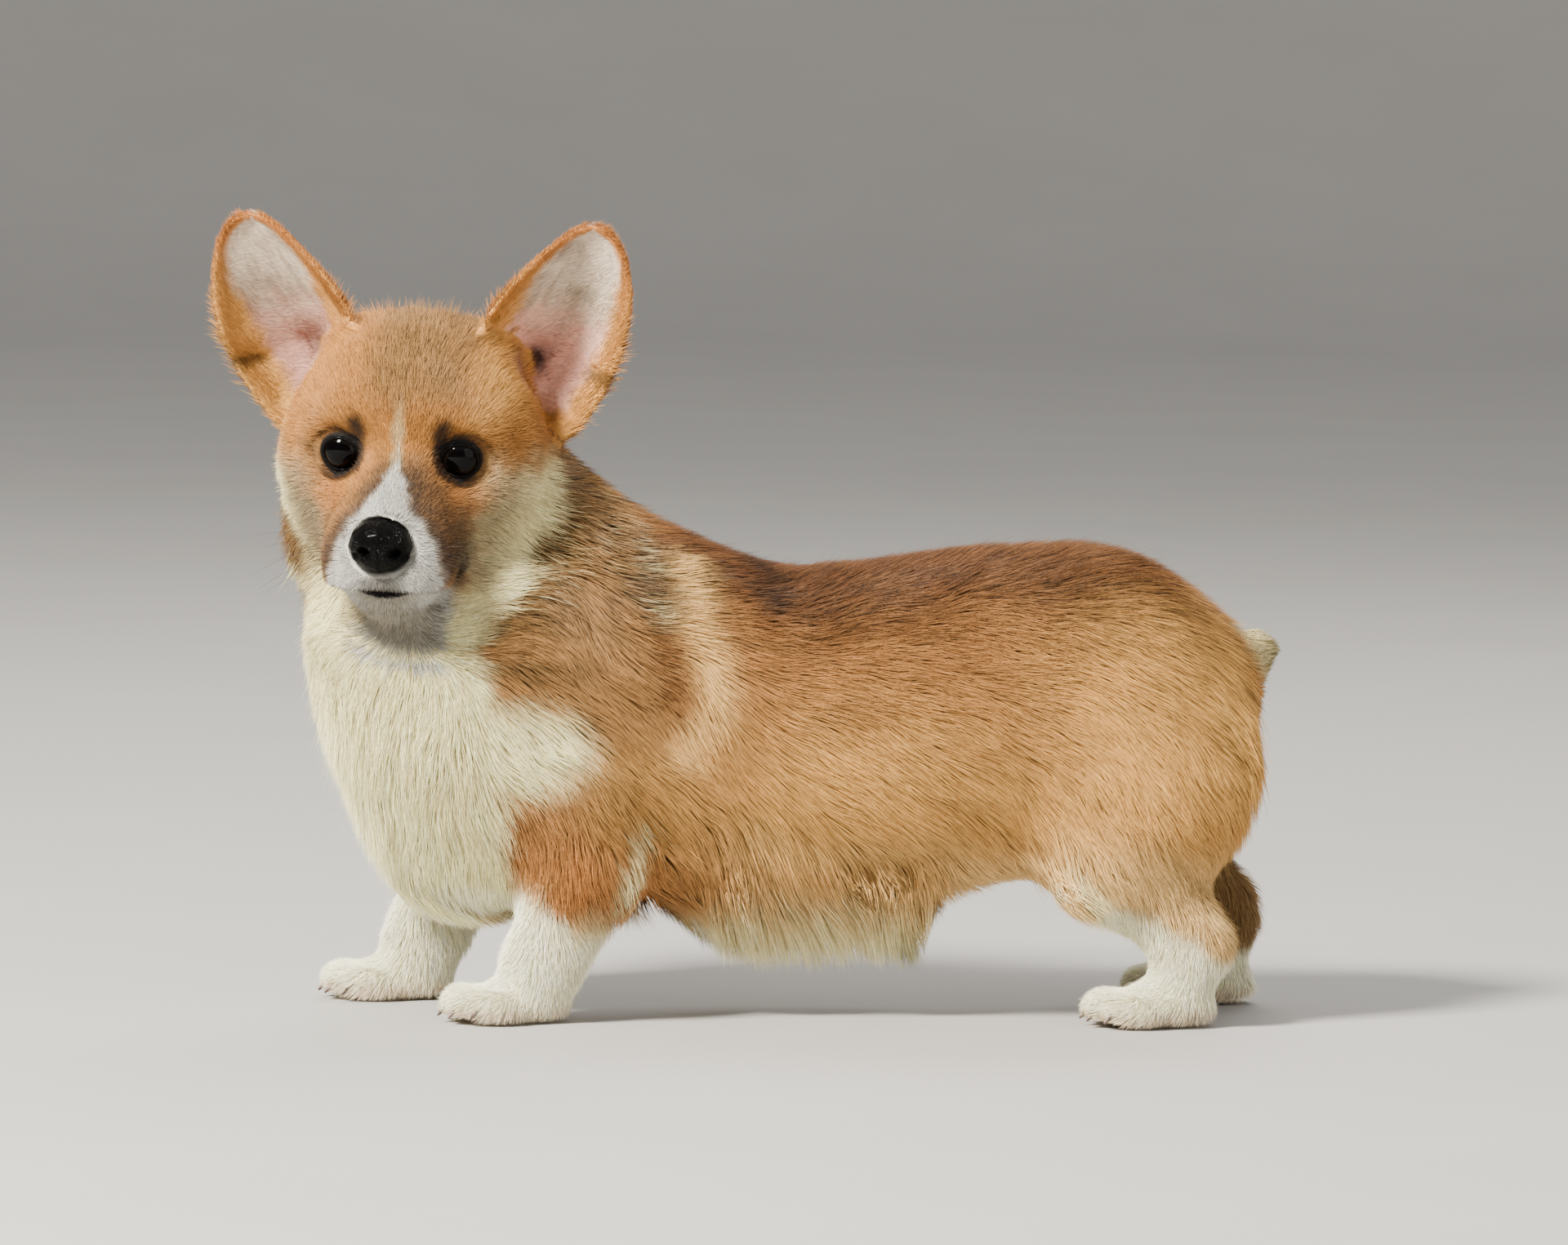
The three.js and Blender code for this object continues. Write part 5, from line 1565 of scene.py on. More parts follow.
    def carve(self, surface: Surface) -> None:
        """Cuts the openings of the eyes and the folds of lids, lips and ears."""
        normals = surface.normals()
        for eye in EYES:
            inside, reach = eye.opening(surface.points)
            toward = unit(surface.points - eye.centre)
            near = reach < EYE_RADIUS + 9
            wanted = np.where(inside > 0, EYE_RADIUS - self.SOCKET, reach)
            crease = bell(inside, -3.2, 1.0) * 0.6 * ramp(4, 0, reach - EYE_RADIUS)
            wanted = np.where(near & (reach < EYE_RADIUS + 3.5), wanted - crease, reach)
            wanted = np.where(inside > 4.0, np.minimum(wanted, EYE_RADIUS - self.SOCKET), wanted)
            surface.points = np.where(near[:, None], eye.centre + toward * wanted[:, None], surface.points)
        surface.points = surface.points - normals * (toe_grooves(surface.points) * 1.3)[:, None]
        own = HEAD.into(surface.points)
        x, y, z = own.T
        under = ramp(-41.8, -45.0, z) * ramp(44, 56, x) * ramp(-76, -64, z)
        own = np.column_stack([x - 4.6 * under * ramp(60, 78, x), y * (1 - 0.19 * under), z + 1.5 * under])
        for side in (1, -1):
            middle = np.array(self.BOWL_MIDDLE) * [1, side, 1]
            away = (own - middle) / self.BOWL_SIZE
            reach = np.maximum(norms(away), 0.05)
            pressed = np.where(reach < 1, 1 - (1 - reach) * 0.3, reach)
            hollow = (reach < 1) & (np.abs(own[:, 1]) < abs(middle[1]))
            own = np.where(hollow[:, None], middle + away * (pressed / reach)[:, None] * self.BOWL_SIZE, own)
        mirrored = mirrored_left(own)
        lip = bell(np.maximum(lip_distance(own), 0), 0, 1.4) * 2.3
        cleft = bell(line_distance(mirrored, PHILTRUM), 0, 1.1)
        surface.points = HEAD.out(own) - normals * (lip + cleft)[:, None]
        for side in (1, -1):
            self.fold_ear(surface, side)

    @staticmethod
    def fold_ear(surface: Surface, side: int) -> None:
        """Raises the ridges and sinks the pit at the root of an ear."""
        own = ear_own(surface.points, side)
        close = (own[:, 2] > -20) & (own[:, 2] < 62) & (own[:, 1] > 18) & (own[:, 0] > -45)
        spots = np.flatnonzero(close)
        t, s, depth = EAR_SHAPE.place(own[spots])
        relief = EAR_SHAPE.relief(t, s)
        depth = depth - relief
        front = ramp(2.2, 1.2, depth) * ramp(-4.0, -2.5, depth)
        surface.points[spots] += HEAD.forward * (relief * front)[:, None]

    def thinned(self, surface: Surface) -> Surface:
        """The surface with fewer triangles, keeping those of the head."""
        share = self.MOST_FACES / len(surface.faces)
        if share >= 1:
            return surface
        thing = thing_of("thin", mesh_of("thin", surface.points, surface.faces))
        own = HEAD.into(surface.points)
        free = ramp(60, 75, norms(own - [45, 0, -10]))
        group = thing.vertex_groups.new(name="free")
        for level in range(1, 5):
            spots = np.flatnonzero(np.round(free * 4) == level)
            group.add(spots.tolist(), level / 4, "REPLACE")
        fewer = thing.modifiers.new("fewer", "DECIMATE")
        fewer.ratio = share
        fewer.vertex_group = "free"
        return evaluated(thing)

    def dress(self) -> None:
        """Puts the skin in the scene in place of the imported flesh."""
        mesh = mesh_of("skin", self.surface.points, self.surface.faces)
        # Painted shade: the skin is darkened where the coat over it is deep.
        shade = 1 - 0.3 * ramp(3, 8, self.coat[:, DEPTH])
        coloured(mesh, self.colour * shade[:, None])
        mesh.materials.append(SkinFinish("skin").make())
        skin = thing_of("skin", mesh)
        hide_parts(*(node for region in REGIONS for node in region.value))
        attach(skin, "root")
        LOG.info("skin dressed")


# Coat


class Unwrap(Enum):
    """Ways to lay the skin's own shape out flat."""

    ROUND_Y = "round the trunk"
    ROUND_Z = "round an upright line"
    HEAD = "round the head"
    LEAF = "front and back"

    def lay(self, points: Array) -> Array:
        """Places on the flat map, from 0 to 1 both ways.

        Args:
            points: places of the roots in the row frame.

        Returns:
            Two values a point.
        """
        middle = (points.min(0) + points.max(0)) / 2
        if self is Unwrap.LEAF:
            side = 1 if HEAD.into(points)[:, 1].mean() > 0 else -1
            t, s, depth = on_leaf(points, side)
            flat = np.column_stack([0.25 + s * 0.22 + 0.5 * (depth > 2.0), t])
        else:
            if self is Unwrap.HEAD:
                points = HEAD.into(points)[:, [1, 0, 2]]
                middle = np.array([0.0, 0.0, 0.0])
            away = points - middle
            if self is Unwrap.ROUND_Z:
                flat = np.column_stack([np.arctan2(away[:, 1], away[:, 0]) / math.tau + 0.5, points[:, 2]])
            else:
                flat = np.column_stack([np.arctan2(away[:, 2], away[:, 0]) / math.tau + 0.5, points[:, 1]])
        low = flat[:, 1].min()
        flat[:, 1] = (flat[:, 1] - low) / max(float(np.ptp(flat[:, 1])), 1e-6)
        return 0.005 + 0.99 * np.clip(flat, 0, 1)


@dataclass(frozen=True)
class Tuft:
    """The shape of one closed tuft: rings of three corners and a tip."""

    rings: int

    @property
    def cost(self) -> int:
        """Number of triangles."""
        return len(self.corners())

    def corners(self) -> list[tuple[int, int, int]]:
        """The triangles, each turned outward."""
        faces = []
        for ring in range(self.rings - 1):
            a, b, c = (ring * 3 + n for n in range(3))
            a2, b2, c2 = a + 3, b + 3, c + 3
            faces += [(a, a2, b2), (a, b2, b), (b, b2, c2), (b, c2, c), (c, c2, a2), (c, a2, a)]
        a, b, c = ((self.rings - 1) * 3 + n for n in range(3))
        tip = self.rings * 3
        faces += [(a, tip, b), (b, tip, c), (c, tip, a), (0, 1, 2)]
        return faces

    def bands(self) -> list[int]:
        """Which side each triangle is on: 0 below, 1 right, 2 left, 3 the end."""
        return [0, 0, 1, 1, 2, 2] * (self.rings - 1) + [0, 1, 2, 3]

    def patches(self) -> Array:
        """Place of each corner on the tuft's own flat patch, from 0 to 1."""
        places = []
        for corners, band in zip(self.corners(), self.bands()):
            row = []
            for corner in corners:
                ring, spot = divmod(corner, 3)
                along = 0.1 + 0.9 * ring / self.rings
                if band == 3:
                    across, along = spot / 3 + 0.1, 0.02 + 0.06 * (spot == 2)
                elif ring == self.rings:
                    across = (band + 0.5) / 3
                else:
                    across = 1.0 if band == 2 and spot == 0 else spot / 3
                row.append((across, along))
            places.append(row)
        return np.array(places)


LONG_TUFT = Tuft(2)
SHORT_TUFT = Tuft(1)


@dataclass
class Roots:
    """Where tufts grow, and what is read there."""

    points: Array
    normals: Array
    coat: Array
    region: Array
    along: Array = field(init=False)
    middle: Array = field(init=False)
    tip: Array = field(init=False)
    middle_normal: Array = field(init=False)
    tip_normal: Array = field(init=False)
    width: Array = field(init=False)
    colour: Array = field(init=False)
    root_colour: Array = field(init=False)
    dark: Array = field(init=False)

    def of(self, chosen: Array) -> dict[str, Array]:
        """All values of the chosen roots, by name."""
        return {name: value[chosen] for name, value in vars(self).items()}


@dataclass(frozen=True)
class Piece:
    """One mesh of coat: its region, how it is laid out flat, and which side or half of it."""

    name: str
    region: Region
    unwrap: Unwrap
    slot: str = "body_fur"
    side: int = 0
    front: int = 0


PIECES = (
    Piece("coat_face", Region.HEAD, Unwrap.HEAD, "face_fur", front=1),
    Piece("coat_crown", Region.HEAD, Unwrap.HEAD, "face_fur", front=-1),
    Piece("coat_ear_left", Region.EAR_LEFT, Unwrap.LEAF, "ear_fur"),
    Piece("coat_ear_right", Region.EAR_RIGHT, Unwrap.LEAF, "ear_fur"),
    Piece("coat_neck", Region.NECK, Unwrap.ROUND_Z),
    Piece("coat_chest", Region.CHEST, Unwrap.ROUND_Z, "pale_fur"),
    Piece("coat_barrel_left", Region.BARREL, Unwrap.ROUND_Y, side=1),
    Piece("coat_barrel_right", Region.BARREL, Unwrap.ROUND_Y, side=-1),
    Piece("coat_rump_left", Region.RUMP, Unwrap.ROUND_Y, side=1),
    Piece("coat_rump_right", Region.RUMP, Unwrap.ROUND_Y, side=-1),
    Piece("coat_foreleg_left", Region.FORELEG_LEFT, Unwrap.ROUND_Z),
    Piece("coat_foreleg_right", Region.FORELEG_RIGHT, Unwrap.ROUND_Z),
    Piece("coat_hindleg_left", Region.HINDLEG_LEFT, Unwrap.ROUND_Z),
    Piece("coat_hindleg_right", Region.HINDLEG_RIGHT, Unwrap.ROUND_Z),
)


@dataclass
class Coat:
    """All tufts of the dog."""

    skin: Skin
    marks: Marks
    rng: np.random.Generator = field(default_factory=lambda: np.random.default_rng(SEED))
    LONG_FROM = 7.5
    CURVED_FROM = 0.42
    LAYERS = 5.0
    BUDGET = 1430000
    PIECE_LIMIT = 196000
    STRAY = 0.05
    LOOSE = 8.0
    PATCH = 0.003
    FACE_FRONT = 14.0
    HEAD_SHARE = 0.84
    LEG_SHARE = 0.72
    QUICK_WIDTH = 1.6
    QUICK_SHARE = 2.6
    BEND = 0.62
    FLOOR_GAP = 0.6
    LOCK_SPACING = 4.6
    NOSE_MIDDLE = (81.5, -1.0, -21.8)
    NOSE_SIZE = (12.5, 13.4, 12.2)
    DOWN = np.array([0.0, 0.3, -1.0])

    def build(self) -> None:
        """Grows the tufts and makes the pieces."""
        roots = self.sow()
        LOG.info("coat: %d roots", len(roots.points))
        self.comb(roots)
        LOG.info("coat: combed")
        self.clump(roots)
        self.tint(roots)
        finish = CoatFinish("coat").make()
        for piece in PIECES:
            self.make(piece, roots, finish)

    def sow(self) -> Roots:
        """Scatters roots so thickly that tufts overlap."""
        surface = self.skin.surface
        faces = surface.faces
        area = norms(surface.crosses()) / 2
        coat = self.skin.coat[faces].mean(1)
        length = coat[:, LENGTH]
        wide = 1.0
        need = self.LAYERS * 2 / (length * coat[:, WIDTH] * wide) * area
        owner = self.skin.region[faces[:, 0]]
        need *= np.where(owner == Region.HEAD.number, self.HEAD_SHARE, 1.0)
        need *= np.where(among(owner, LEGS), self.LEG_SHARE, 1.0)
        need *= 1.0 + 0.9 * ramp(0.5, 0.9, coat[:, HANG])
        middle = surface.points[faces].mean(1)
        need *= 1.0 - self.bare(middle, unit(surface.crosses()))
        need *= self.ear_share(middle, owner)
        cost = np.where(coat[:, CLUMP] >= self.CURVED_FROM, LONG_TUFT.cost, SHORT_TUFT.cost)
        total = float((need * cost).sum())
        budget = self.BUDGET / 1.0
        LOG.info("coat: %.0f triangles for full cover, %.0f allowed", total, budget)
        need *= min(1.0, budget / total)
        count = np.floor(need + self.rng.random(len(need))).astype(int)
        chosen = np.repeat(np.arange(len(faces)), count)
        share = self.rng.dirichlet((1, 1, 1), len(chosen))
        corners = faces[chosen]

        def read(values: Array) -> Array:
            """Values of the skin at the roots."""
            return (values[corners] * share[:, :, None]).sum(1)

        points = read(surface.points)
        normals = unit(read(surface.normals()))
        nearest = corners[np.arange(len(chosen)), share.argmax(1)]
        coat = read(self.skin.coat)
        gap = read(self.skin.gap[:, None])[:, 0]
        coat[:, DEPTH] = np.clip(gap, coat[:, DEPTH] * 0.75, coat[:, DEPTH] * 1.5 + 0.5)
        keep = self.rng.random(len(points)) > self.bare(points, normals)
        return Roots(points[keep], normals[keep], coat[keep], self.skin.region[nearest][keep])

    @staticmethod
    def ear_share(points: Array, region: Array) -> Array:
        """How thickly the ears are covered: thin inside, thick along the edges."""
        share = np.ones(len(points))
        for ear, side in zip(EARS, (1, -1)):
            spots = np.flatnonzero(region == ear.number)
            t, s, depth = on_leaf(points[spots], side)
            inside = ramp(2.2, 1.4, depth) * ramp(0.85, 0.6, np.abs(s))
            pink = ramp(0.38, 0.3, t) * ramp(0.14, 0.2, t)
            share[spots] = 0.52 - inside * (0.14 + 0.3 * pink)
        return share

    @classmethod
    def bare(cls, points: Array, normals: Array) -> Array:
        """Share of roots left out: eyes, nose, lips and pads."""
        out = np.zeros(len(points))
        for eye in EYES:
            inside, reach = eye.opening(points)
            near = reach < EYE_RADIUS + 4
            out = np.where(near & (inside > -0.9), 1.0, out)
            out = np.where(reach < EYE_RADIUS - 0.3, 1.0, out)
        own = HEAD.into(points)
        out = np.where(lip_distance(own) < 1.7, 1.0, out)
        nose = norms((own - cls.NOSE_MIDDLE) / cls.NOSE_SIZE)
        out = np.where(nose < 1.0, 1.0, out)
        pads = (points[:, 2] < 3.2) & (normals[:, 2] < -0.6)
        return np.where(pads, 1.0, out)

    def comb(self, roots: Roots) -> None:
        """Lays each tuft along the skin."""
        n = roots.normals
        count = len(n)
        flow = unit(roots.coat[:, :3])
        along = flow - n * dot(flow, n)[:, None]
        weak = norms(along) < 0.2
        down = self.DOWN - n * (n @ self.DOWN)[:, None]
        along = unit(np.where(weak[:, None], along + down * 0.4, along))
        long_hair = ramp(5, 15, roots.coat[:, LENGTH])
        swirl = GRAIN.at(roots.points, 24.0) * 0.34 + SIDE_GRAIN.at(roots.points, 8.0) * 0.34
        angle = swirl * (0.35 + 0.65 * long_hair) + self.rng.normal(0, 0.13, count)
        along = along * np.cos(angle)[:, None] + np.cross(n, along) * np.sin(angle)[:, None]
        length = roots.coat[:, LENGTH] * self.rng.uniform(0.78, 1.18, count)
        wave = 1.0 + 0.10 * SIDE_GRAIN.at(roots.points * [1, 1.6, 1], 11.0) * long_hair
        depth = roots.coat[:, DEPTH] * self.rng.uniform(0.72, 1.06, count) * wave
        short = np.ones(count)
        on_head = roots.region == Region.HEAD.number
        short[on_head] = ramp(1.2, 7.0, lip_distance(HEAD.into(roots.points[on_head])) + 1.5)
        length = length * np.clip(short, 0.3, 1.0)
        crown = on_head * ramp(26, 40, HEAD.into(roots.points)[:, 2])
        stray = self.rng.random(count) < self.STRAY + 0.14 * crown
        depth = depth * np.where(stray, self.rng.uniform(1.3, 1.9 + 1.2 * crown, count), 1.0)
        roots.along = along
        roots.width = roots.coat[:, WIDTH] * self.rng.uniform(0.7, 1.25, count) * np.where(stray, 0.7, 1.0)
        roots.middle = roots.points + along * (length * 0.5)[:, None] + n * (depth * self.BEND)[:, None]
        roots.middle_normal = n.copy()
        roots.tip = roots.points + along * length[:, None] + n * depth[:, None]
        roots.tip_normal = n.copy()
        self.follow(roots, length, depth)
        hanging = np.flatnonzero(roots.coat[:, HANG] > 0.04)
        share = (roots.coat[hanging, HANG] * self.rng.uniform(0.88, 1.0, len(hanging)))[:, None]
        free = unit(flow[hanging] + n[hanging] * 0.12 + self.rng.normal(0, 0.08, (len(hanging), 3)))
        reach = self.room(roots.points[hanging], free) * self.rng.uniform(0.86, 1.04, len(hanging))
        reach += self.LOOSE * self.rng.uniform(0.3, 1.0, len(hanging)) * share[:, 0]
        reach = np.minimum(reach, length[hanging] * 1.5)[:, None]
        start = roots.points[hanging]
        bent = start + unit(free + n[hanging] * 0.35) * reach * 0.5
        roots.tip[hanging] += (start + free * reach - roots.tip[hanging]) * share
        roots.middle[hanging] += (bent - roots.middle[hanging]) * share
        roots.tip[:, 2] = np.maximum(roots.tip[:, 2], self.FLOOR_GAP)
        roots.middle[:, 2] = np.maximum(roots.middle[:, 2], self.FLOOR_GAP)

    def follow(self, roots: Roots, length: Array, depth: Array) -> None:
        """Bends long tufts round the body.

        Args:
            roots: the roots, combed straight.
            length: length of each tuft.
            depth: height of each tip over the skin.
        """
        find = self.skin.tree.find_nearest
        curved = roots.coat[:, CLUMP] >= self.CURVED_FROM
        for k in np.flatnonzero(roots.coat[:, LENGTH] >= self.LONG_FROM).tolist():
            reach = float(length[k])
            ahead = roots.along[k]
            if curved[k]:
                spot, normal, _, far = find(roots.middle[k])
                if far > reach * 0.6:
                    continue
                first = np.array(normal)
                roots.middle[k] = np.array(spot) + first * depth[k] * self.BEND
                roots.middle_normal[k] = first
                ahead = ahead - first * (ahead @ first)
                ahead /= max(float(np.linalg.norm(ahead)), 1e-6)
                target = np.array(spot) + ahead * reach * 0.5
            else:
                target = roots.points[k] + ahead * reach
            spot, normal, _, far = find(target)
            if far > reach * 0.6:
                roots.tip[k] = target + roots.middle_normal[k] * depth[k]
                continue
            roots.tip[k] = np.array(spot) + np.array(normal) * depth[k]
            roots.tip_normal[k] = np.array(normal)

    def room(self, points: Array, directions: Array) -> Array:
        """How far it is from points, in given directions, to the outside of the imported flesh."""
        cast = self.skin.outer.ray_cast
        found = [cast(point, ahead)[3] for point, ahead in zip(points.tolist(), directions.tolist())]
        return np.array([12.0 if far is None else far for far in found])

    def clump(self, roots: Roots) -> None:
        """Draws the tips of long hair together into locks."""
        long_hair = np.flatnonzero(roots.coat[:, LENGTH] >= self.LONG_FROM)
        thick = self.LAYERS * 2 / (roots.coat[:, LENGTH] * roots.coat[:, WIDTH])
        chance = self.LOCK_SPACING ** -2 / thick[long_hair]
        heads = long_hair[self.rng.random(len(long_hair)) < chance]
        tree = KDTree(len(heads))
        for number, head in enumerate(heads.tolist()):
            tree.insert(roots.points[head], number)
        tree.balance()
        for k in long_hair.tolist():
            _, number, far = tree.find(roots.points[k])
            if far > self.LOCK_SPACING * 1.6:
                continue
            head = heads[number]
            pull = roots.coat[k, CLUMP] * (0.5 + 0.5 * self.rng.random())
            offset = roots.points[k] - roots.points[head]
            roots.tip[k] += (roots.tip[head] + offset * 0.2 - roots.tip[k]) * pull
            roots.middle[k] += (roots.middle[head] + offset * 0.7 - roots.middle[k]) * pull * 0.5

    def tint(self, roots: Roots) -> None:
        """Reads the markings where each tuft shows."""
        stray = 0.25 + 1.7 * ramp(5, 16, roots.coat[:, LENGTH])
        jitter = self.rng.normal(0, 1, roots.points.shape) * stray[:, None]
        low, _ = self.marks.colours(roots.points * 0.7 + roots.tip * 0.3 + jitter, roots.region)
        high, tips = self.marks.colours(roots.points * 0.15 + roots.tip * 0.85 + jitter, roots.region)
        # Tone differs at random from tuft to tuft; about one tuft in eight is also made paler, as painted
        # highlights on single strands.
        tone = self.rng.normal(1.0, 0.19, len(high)) + 0.3 * (self.rng.random(len(high)) < 0.12)
        tone += GRAIN.at(roots.tip, 6.0) * 0.11 + SIDE_GRAIN.at(roots.tip, 17.0) * 0.10
        tone = np.clip(tone, 0.5, 1.5)[:, None]
        warm = self.rng.normal(0.0, 0.03, len(high))
        tone = tone * (1.0 + np.column_stack([warm, np.zeros(len(warm)), -warm]))
        roots.colour = np.clip(high * tone, 0, 1)
        roots.root_colour = np.clip(low * tone, 0, 1)
        roots.dark = (self.rng.random(len(tips)) < tips * 0.8).astype(float)

    def members(self, piece: Piece, roots: Roots) -> Array:
        """Which roots belong to a piece."""
        mine = roots.region == piece.region.number
        if piece.side:
            mine &= (roots.points[:, 0] > MIDLINE) == (piece.side > 0)
        if piece.front:
            mine &= (HEAD.into(roots.points)[:, 0] > self.FACE_FRONT) == (piece.front > 0)
        return mine

    def make(self, piece: Piece, roots: Roots, finish: Material) -> None:
        """Builds one piece of coat.

        Args:
            piece: which part of the coat.
            roots: all roots, combed and tinted.
            finish: the material of hair.
        """
        mine = self.members(piece, roots)
        curved = roots.coat[:, CLUMP] >= self.CURVED_FROM
        cost = float(mine[curved].sum() * LONG_TUFT.cost + mine[~curved].sum() * SHORT_TUFT.cost)
        if cost > self.PIECE_LIMIT:
            LOG.info("%s: %.0f triangles, thinned", piece.name, cost)
            mine &= self.rng.random(len(mine)) < self.PIECE_LIMIT / cost
        flat = np.zeros((len(mine), 2))
        flat[mine] = piece.unwrap.lay(roots.points[mine])
        parts = []
        for shape, chosen in ((LONG_TUFT, mine & curved), (SHORT_TUFT, mine & ~curved)):
            if chosen.any():
                parts.append(self.arrays(shape, roots.of(chosen), flat[chosen]))
        starts = np.cumsum([0] + [len(part[0]) for part in parts[:-1]])
        points = np.concatenate([part[0] for part in parts])
        faces = np.concatenate([part[1] + start for part, start in zip(parts, starts)])
        colours, normals, places = (np.concatenate([part[n] for part in parts]) for n in (2, 3, 4))
        mesh = mesh_of(piece.name, points, faces)
        coloured(mesh, colours)
        sheet = mesh.uv_layers.new(name="OFBake")
        sheet.uv.foreach_set("vector", places.astype(np.float32).ravel())
        mesh.normals_split_custom_set(normals)
        mesh.materials.append(finish)
        coat = thing_of(piece.name, mesh)
        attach(coat, "root")
        LOG.info("%s: %d triangles", piece.name, len(faces))

    def arrays(self, shape: Tuft, of: dict[str, Array], flat: Array) -> tuple[Array, ...]:
        """Corners, faces, colours, normals and map places of many tufts.

        Args:
            shape: the tuft's shape.
            of: values of the roots by name.
            flat: the roots' places on the unwrapped skin.

        Returns:
            The five arrays.
        """
        count = len(flat)
        base = of["points"] - of["normals"] * 0.3
        width = of["width"][:, None]
        spine = [base, of["middle"]] if shape.rings == 2 else [base]
        upward = [of["normals"], of["middle_normal"]] if shape.rings == 2 else [of["normals"]]
        ahead = unit(of["tip"] - base)
        rows = []
        colours = []
        # Painted shade: each tuft is darkened towards its root, where the coat shades itself, and its tip is
        # drawn a little lighter.
        shades = ((0.6, 0.0), (0.95, 0.25)) if shape.rings == 2 else ((0.66, 0.0),)
        dark = DARK * 0.6
        for ring, (middle, normal) in enumerate(zip(spine, upward)):
            across = unit(np.cross(ahead, normal))
            up = np.cross(across, ahead)
            half = width * (0.42 if ring == 0 and shape.rings == 2 else 0.5)
            rows += [middle - across * half, middle + across * half, middle + up * half * 0.8]
            light, share = shades[ring]
            share = (of["dark"] * share)[:, None]
            own = of["root_colour"] if ring == 0 else (of["root_colour"] + of["colour"]) * 0.5
            colours += [(own * (1 - share) + dark * share) * light] * 3
        rows.append(of["tip"])
        share = of["dark"][:, None] * 0.9
        colours.append((of["colour"] * (1 - share) + dark * share) * 1.08)
        size = len(rows)
        points = np.stack(rows, 1).reshape(-1, 3)
        paints = np.clip(np.stack(colours, 1).reshape(-1, 3), 0, 1)
        corners = np.array(shape.corners())
        faces = (corners[None] + (np.arange(count) * size)[:, None, None]).reshape(-1, 3)
        across = unit(np.cross(ahead, of["normals"]))
        levels = np.stack([*upward, of["tip_normal"]], 1)
        normals = np.empty((count, len(corners), 3, 3))
        for number, (face, band) in enumerate(zip(shape.corners(), shape.bands())):
            for k, corner in enumerate(face):
                level = levels[:, min(corner // 3, shape.rings)]
                lean = unit(level + unit(level - ahead * dot(level, ahead)[:, None]))
                side = {0: -lean, 1: lean * 0.8 + across * 0.55, 2: lean * 0.8 - across * 0.55, 3: -ahead}
                normals[:, number, k] = side[band]
        places = flat[:, None, None] + (shape.patches()[None] - 0.5) * self.PATCH
        return points, faces, paints, unit(normals.reshape(-1, 3)), places.reshape(-1, 2)


# Nose, lids, whiskers and claws


@dataclass
class Nose:
    """The nose leather, with its two nostrils and the groove between them."""

    grid: float = 0.55
    rounds: int = 10
    nostril_depth: float = 3.2

    def build(self) -> None:
        """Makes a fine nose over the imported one."""
        rough = packed_node("nose")
        surface = remeshed(rough.points, rough.faces, self.grid)
        surface.smooth(self.rounds, 0.5, 1.02)
        own = HEAD.into(surface.points)
        off = np.abs(own[:, 1])
        hole = np.exp(-((off - 6.0 - (own[:, 2] + 21) * 0.12) / 2.2) ** 2 - ((own[:, 2] + 22.5) / 1.9) ** 2)
        slit = np.exp(-((off - 9.6) / 2.2) ** 2 - ((own[:, 2] + 24.2) / 1.1) ** 2) * 0.6
        groove = bell(off, 0, 0.8) * ramp(-16, -22, own[:, 2]) * 0.28
        front = ramp(80, 86, own[:, 0])
        push = (np.maximum(hole, slit) * self.nostril_depth + groove * 2.4) * front
        surface.points = surface.points - HEAD.forward * push[:, None]
        surface.smooth(2, 0.3)
        nose = shaped("nose_leather", surface, LeatherFinish("nose_leather").make())
        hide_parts("nose")
        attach(nose, "root")
        LOG.info("nose: %d triangles", len(surface.faces))


@dataclass
class Lids:
    """The dark moist edge of the lids."""

    thickness: float = 0.72

    def build(self) -> None:
        """Makes both edges as one piece."""
        rings = [tube(eye.rim(), self.thickness, 8, closed=True) for eye in EYES]
        finish = LeatherFinish("lid_edge", (4, 3, 3), (8, 6, 5), 0.5, 2600.0, 0.0001)
        lids = shaped("lid_edges", joined(rings), finish.make())
        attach(lids, "root")
        LOG.info("lids built")


@dataclass
class Whiskers:
    """Fine whiskers of muzzle and brows."""

    skin: Skin
    rows: int = 3
    columns: int = 4

    def roots(self) -> list[tuple[Array, Array, float]]:
        """Place, direction and length of each whisker, in the head's frame on the left."""
        found = []
        for row in range(self.rows):
            for column in range(self.columns):
                place = np.array([79.0 - column * 4.4, 16.0 + column * 2.2, -25.0 - row * 4.2])
                along = np.array([0.35 - column * 0.2, 0.9, 0.12 - row * 0.22])
                found.append((place, unit(along), 15.0 + column * 6.0))
        for n in range(3):
            found.append((np.array([41.0, 15.0 + n * 2.5, 17.0 + n]), unit(np.array([0.7, 0.3, 0.8])), 12.0))
        return found

    def build(self) -> None:
        """Makes all whiskers as one piece."""
        rng = np.random.default_rng(SEED + 7)
        strands = []
        for side in (1, -1):
            turn = np.array([1, side, 1])
            for place, along, length in self.roots():
                spot, _, _, _ = self.skin.tree.find_nearest((HEAD.out((place * turn)[None])[0]).tolist())
                start = np.array(spot)
                ahead = unit(HEAD.turn_out(along * turn) + rng.normal(0, 0.09, 3))
                steps = np.linspace(0, 1, 7)[:, None]
                droop = np.array([0, 0, -1.0]) * length * 0.22
                line = start - ahead * 0.8 + ahead * length * steps + droop * steps ** 2
                strands.append(tube(line, np.linspace(0.13, 0.02, 7), 5))
        finish = LeatherFinish("whisker", (30, 24, 22), (70, 60, 54), 0.45, 900.0, 0.00005)
        whiskers = shaped("whiskers", joined(strands), finish.make())
        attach(whiskers, "root")
        LOG.info("whiskers: %d", len(strands))


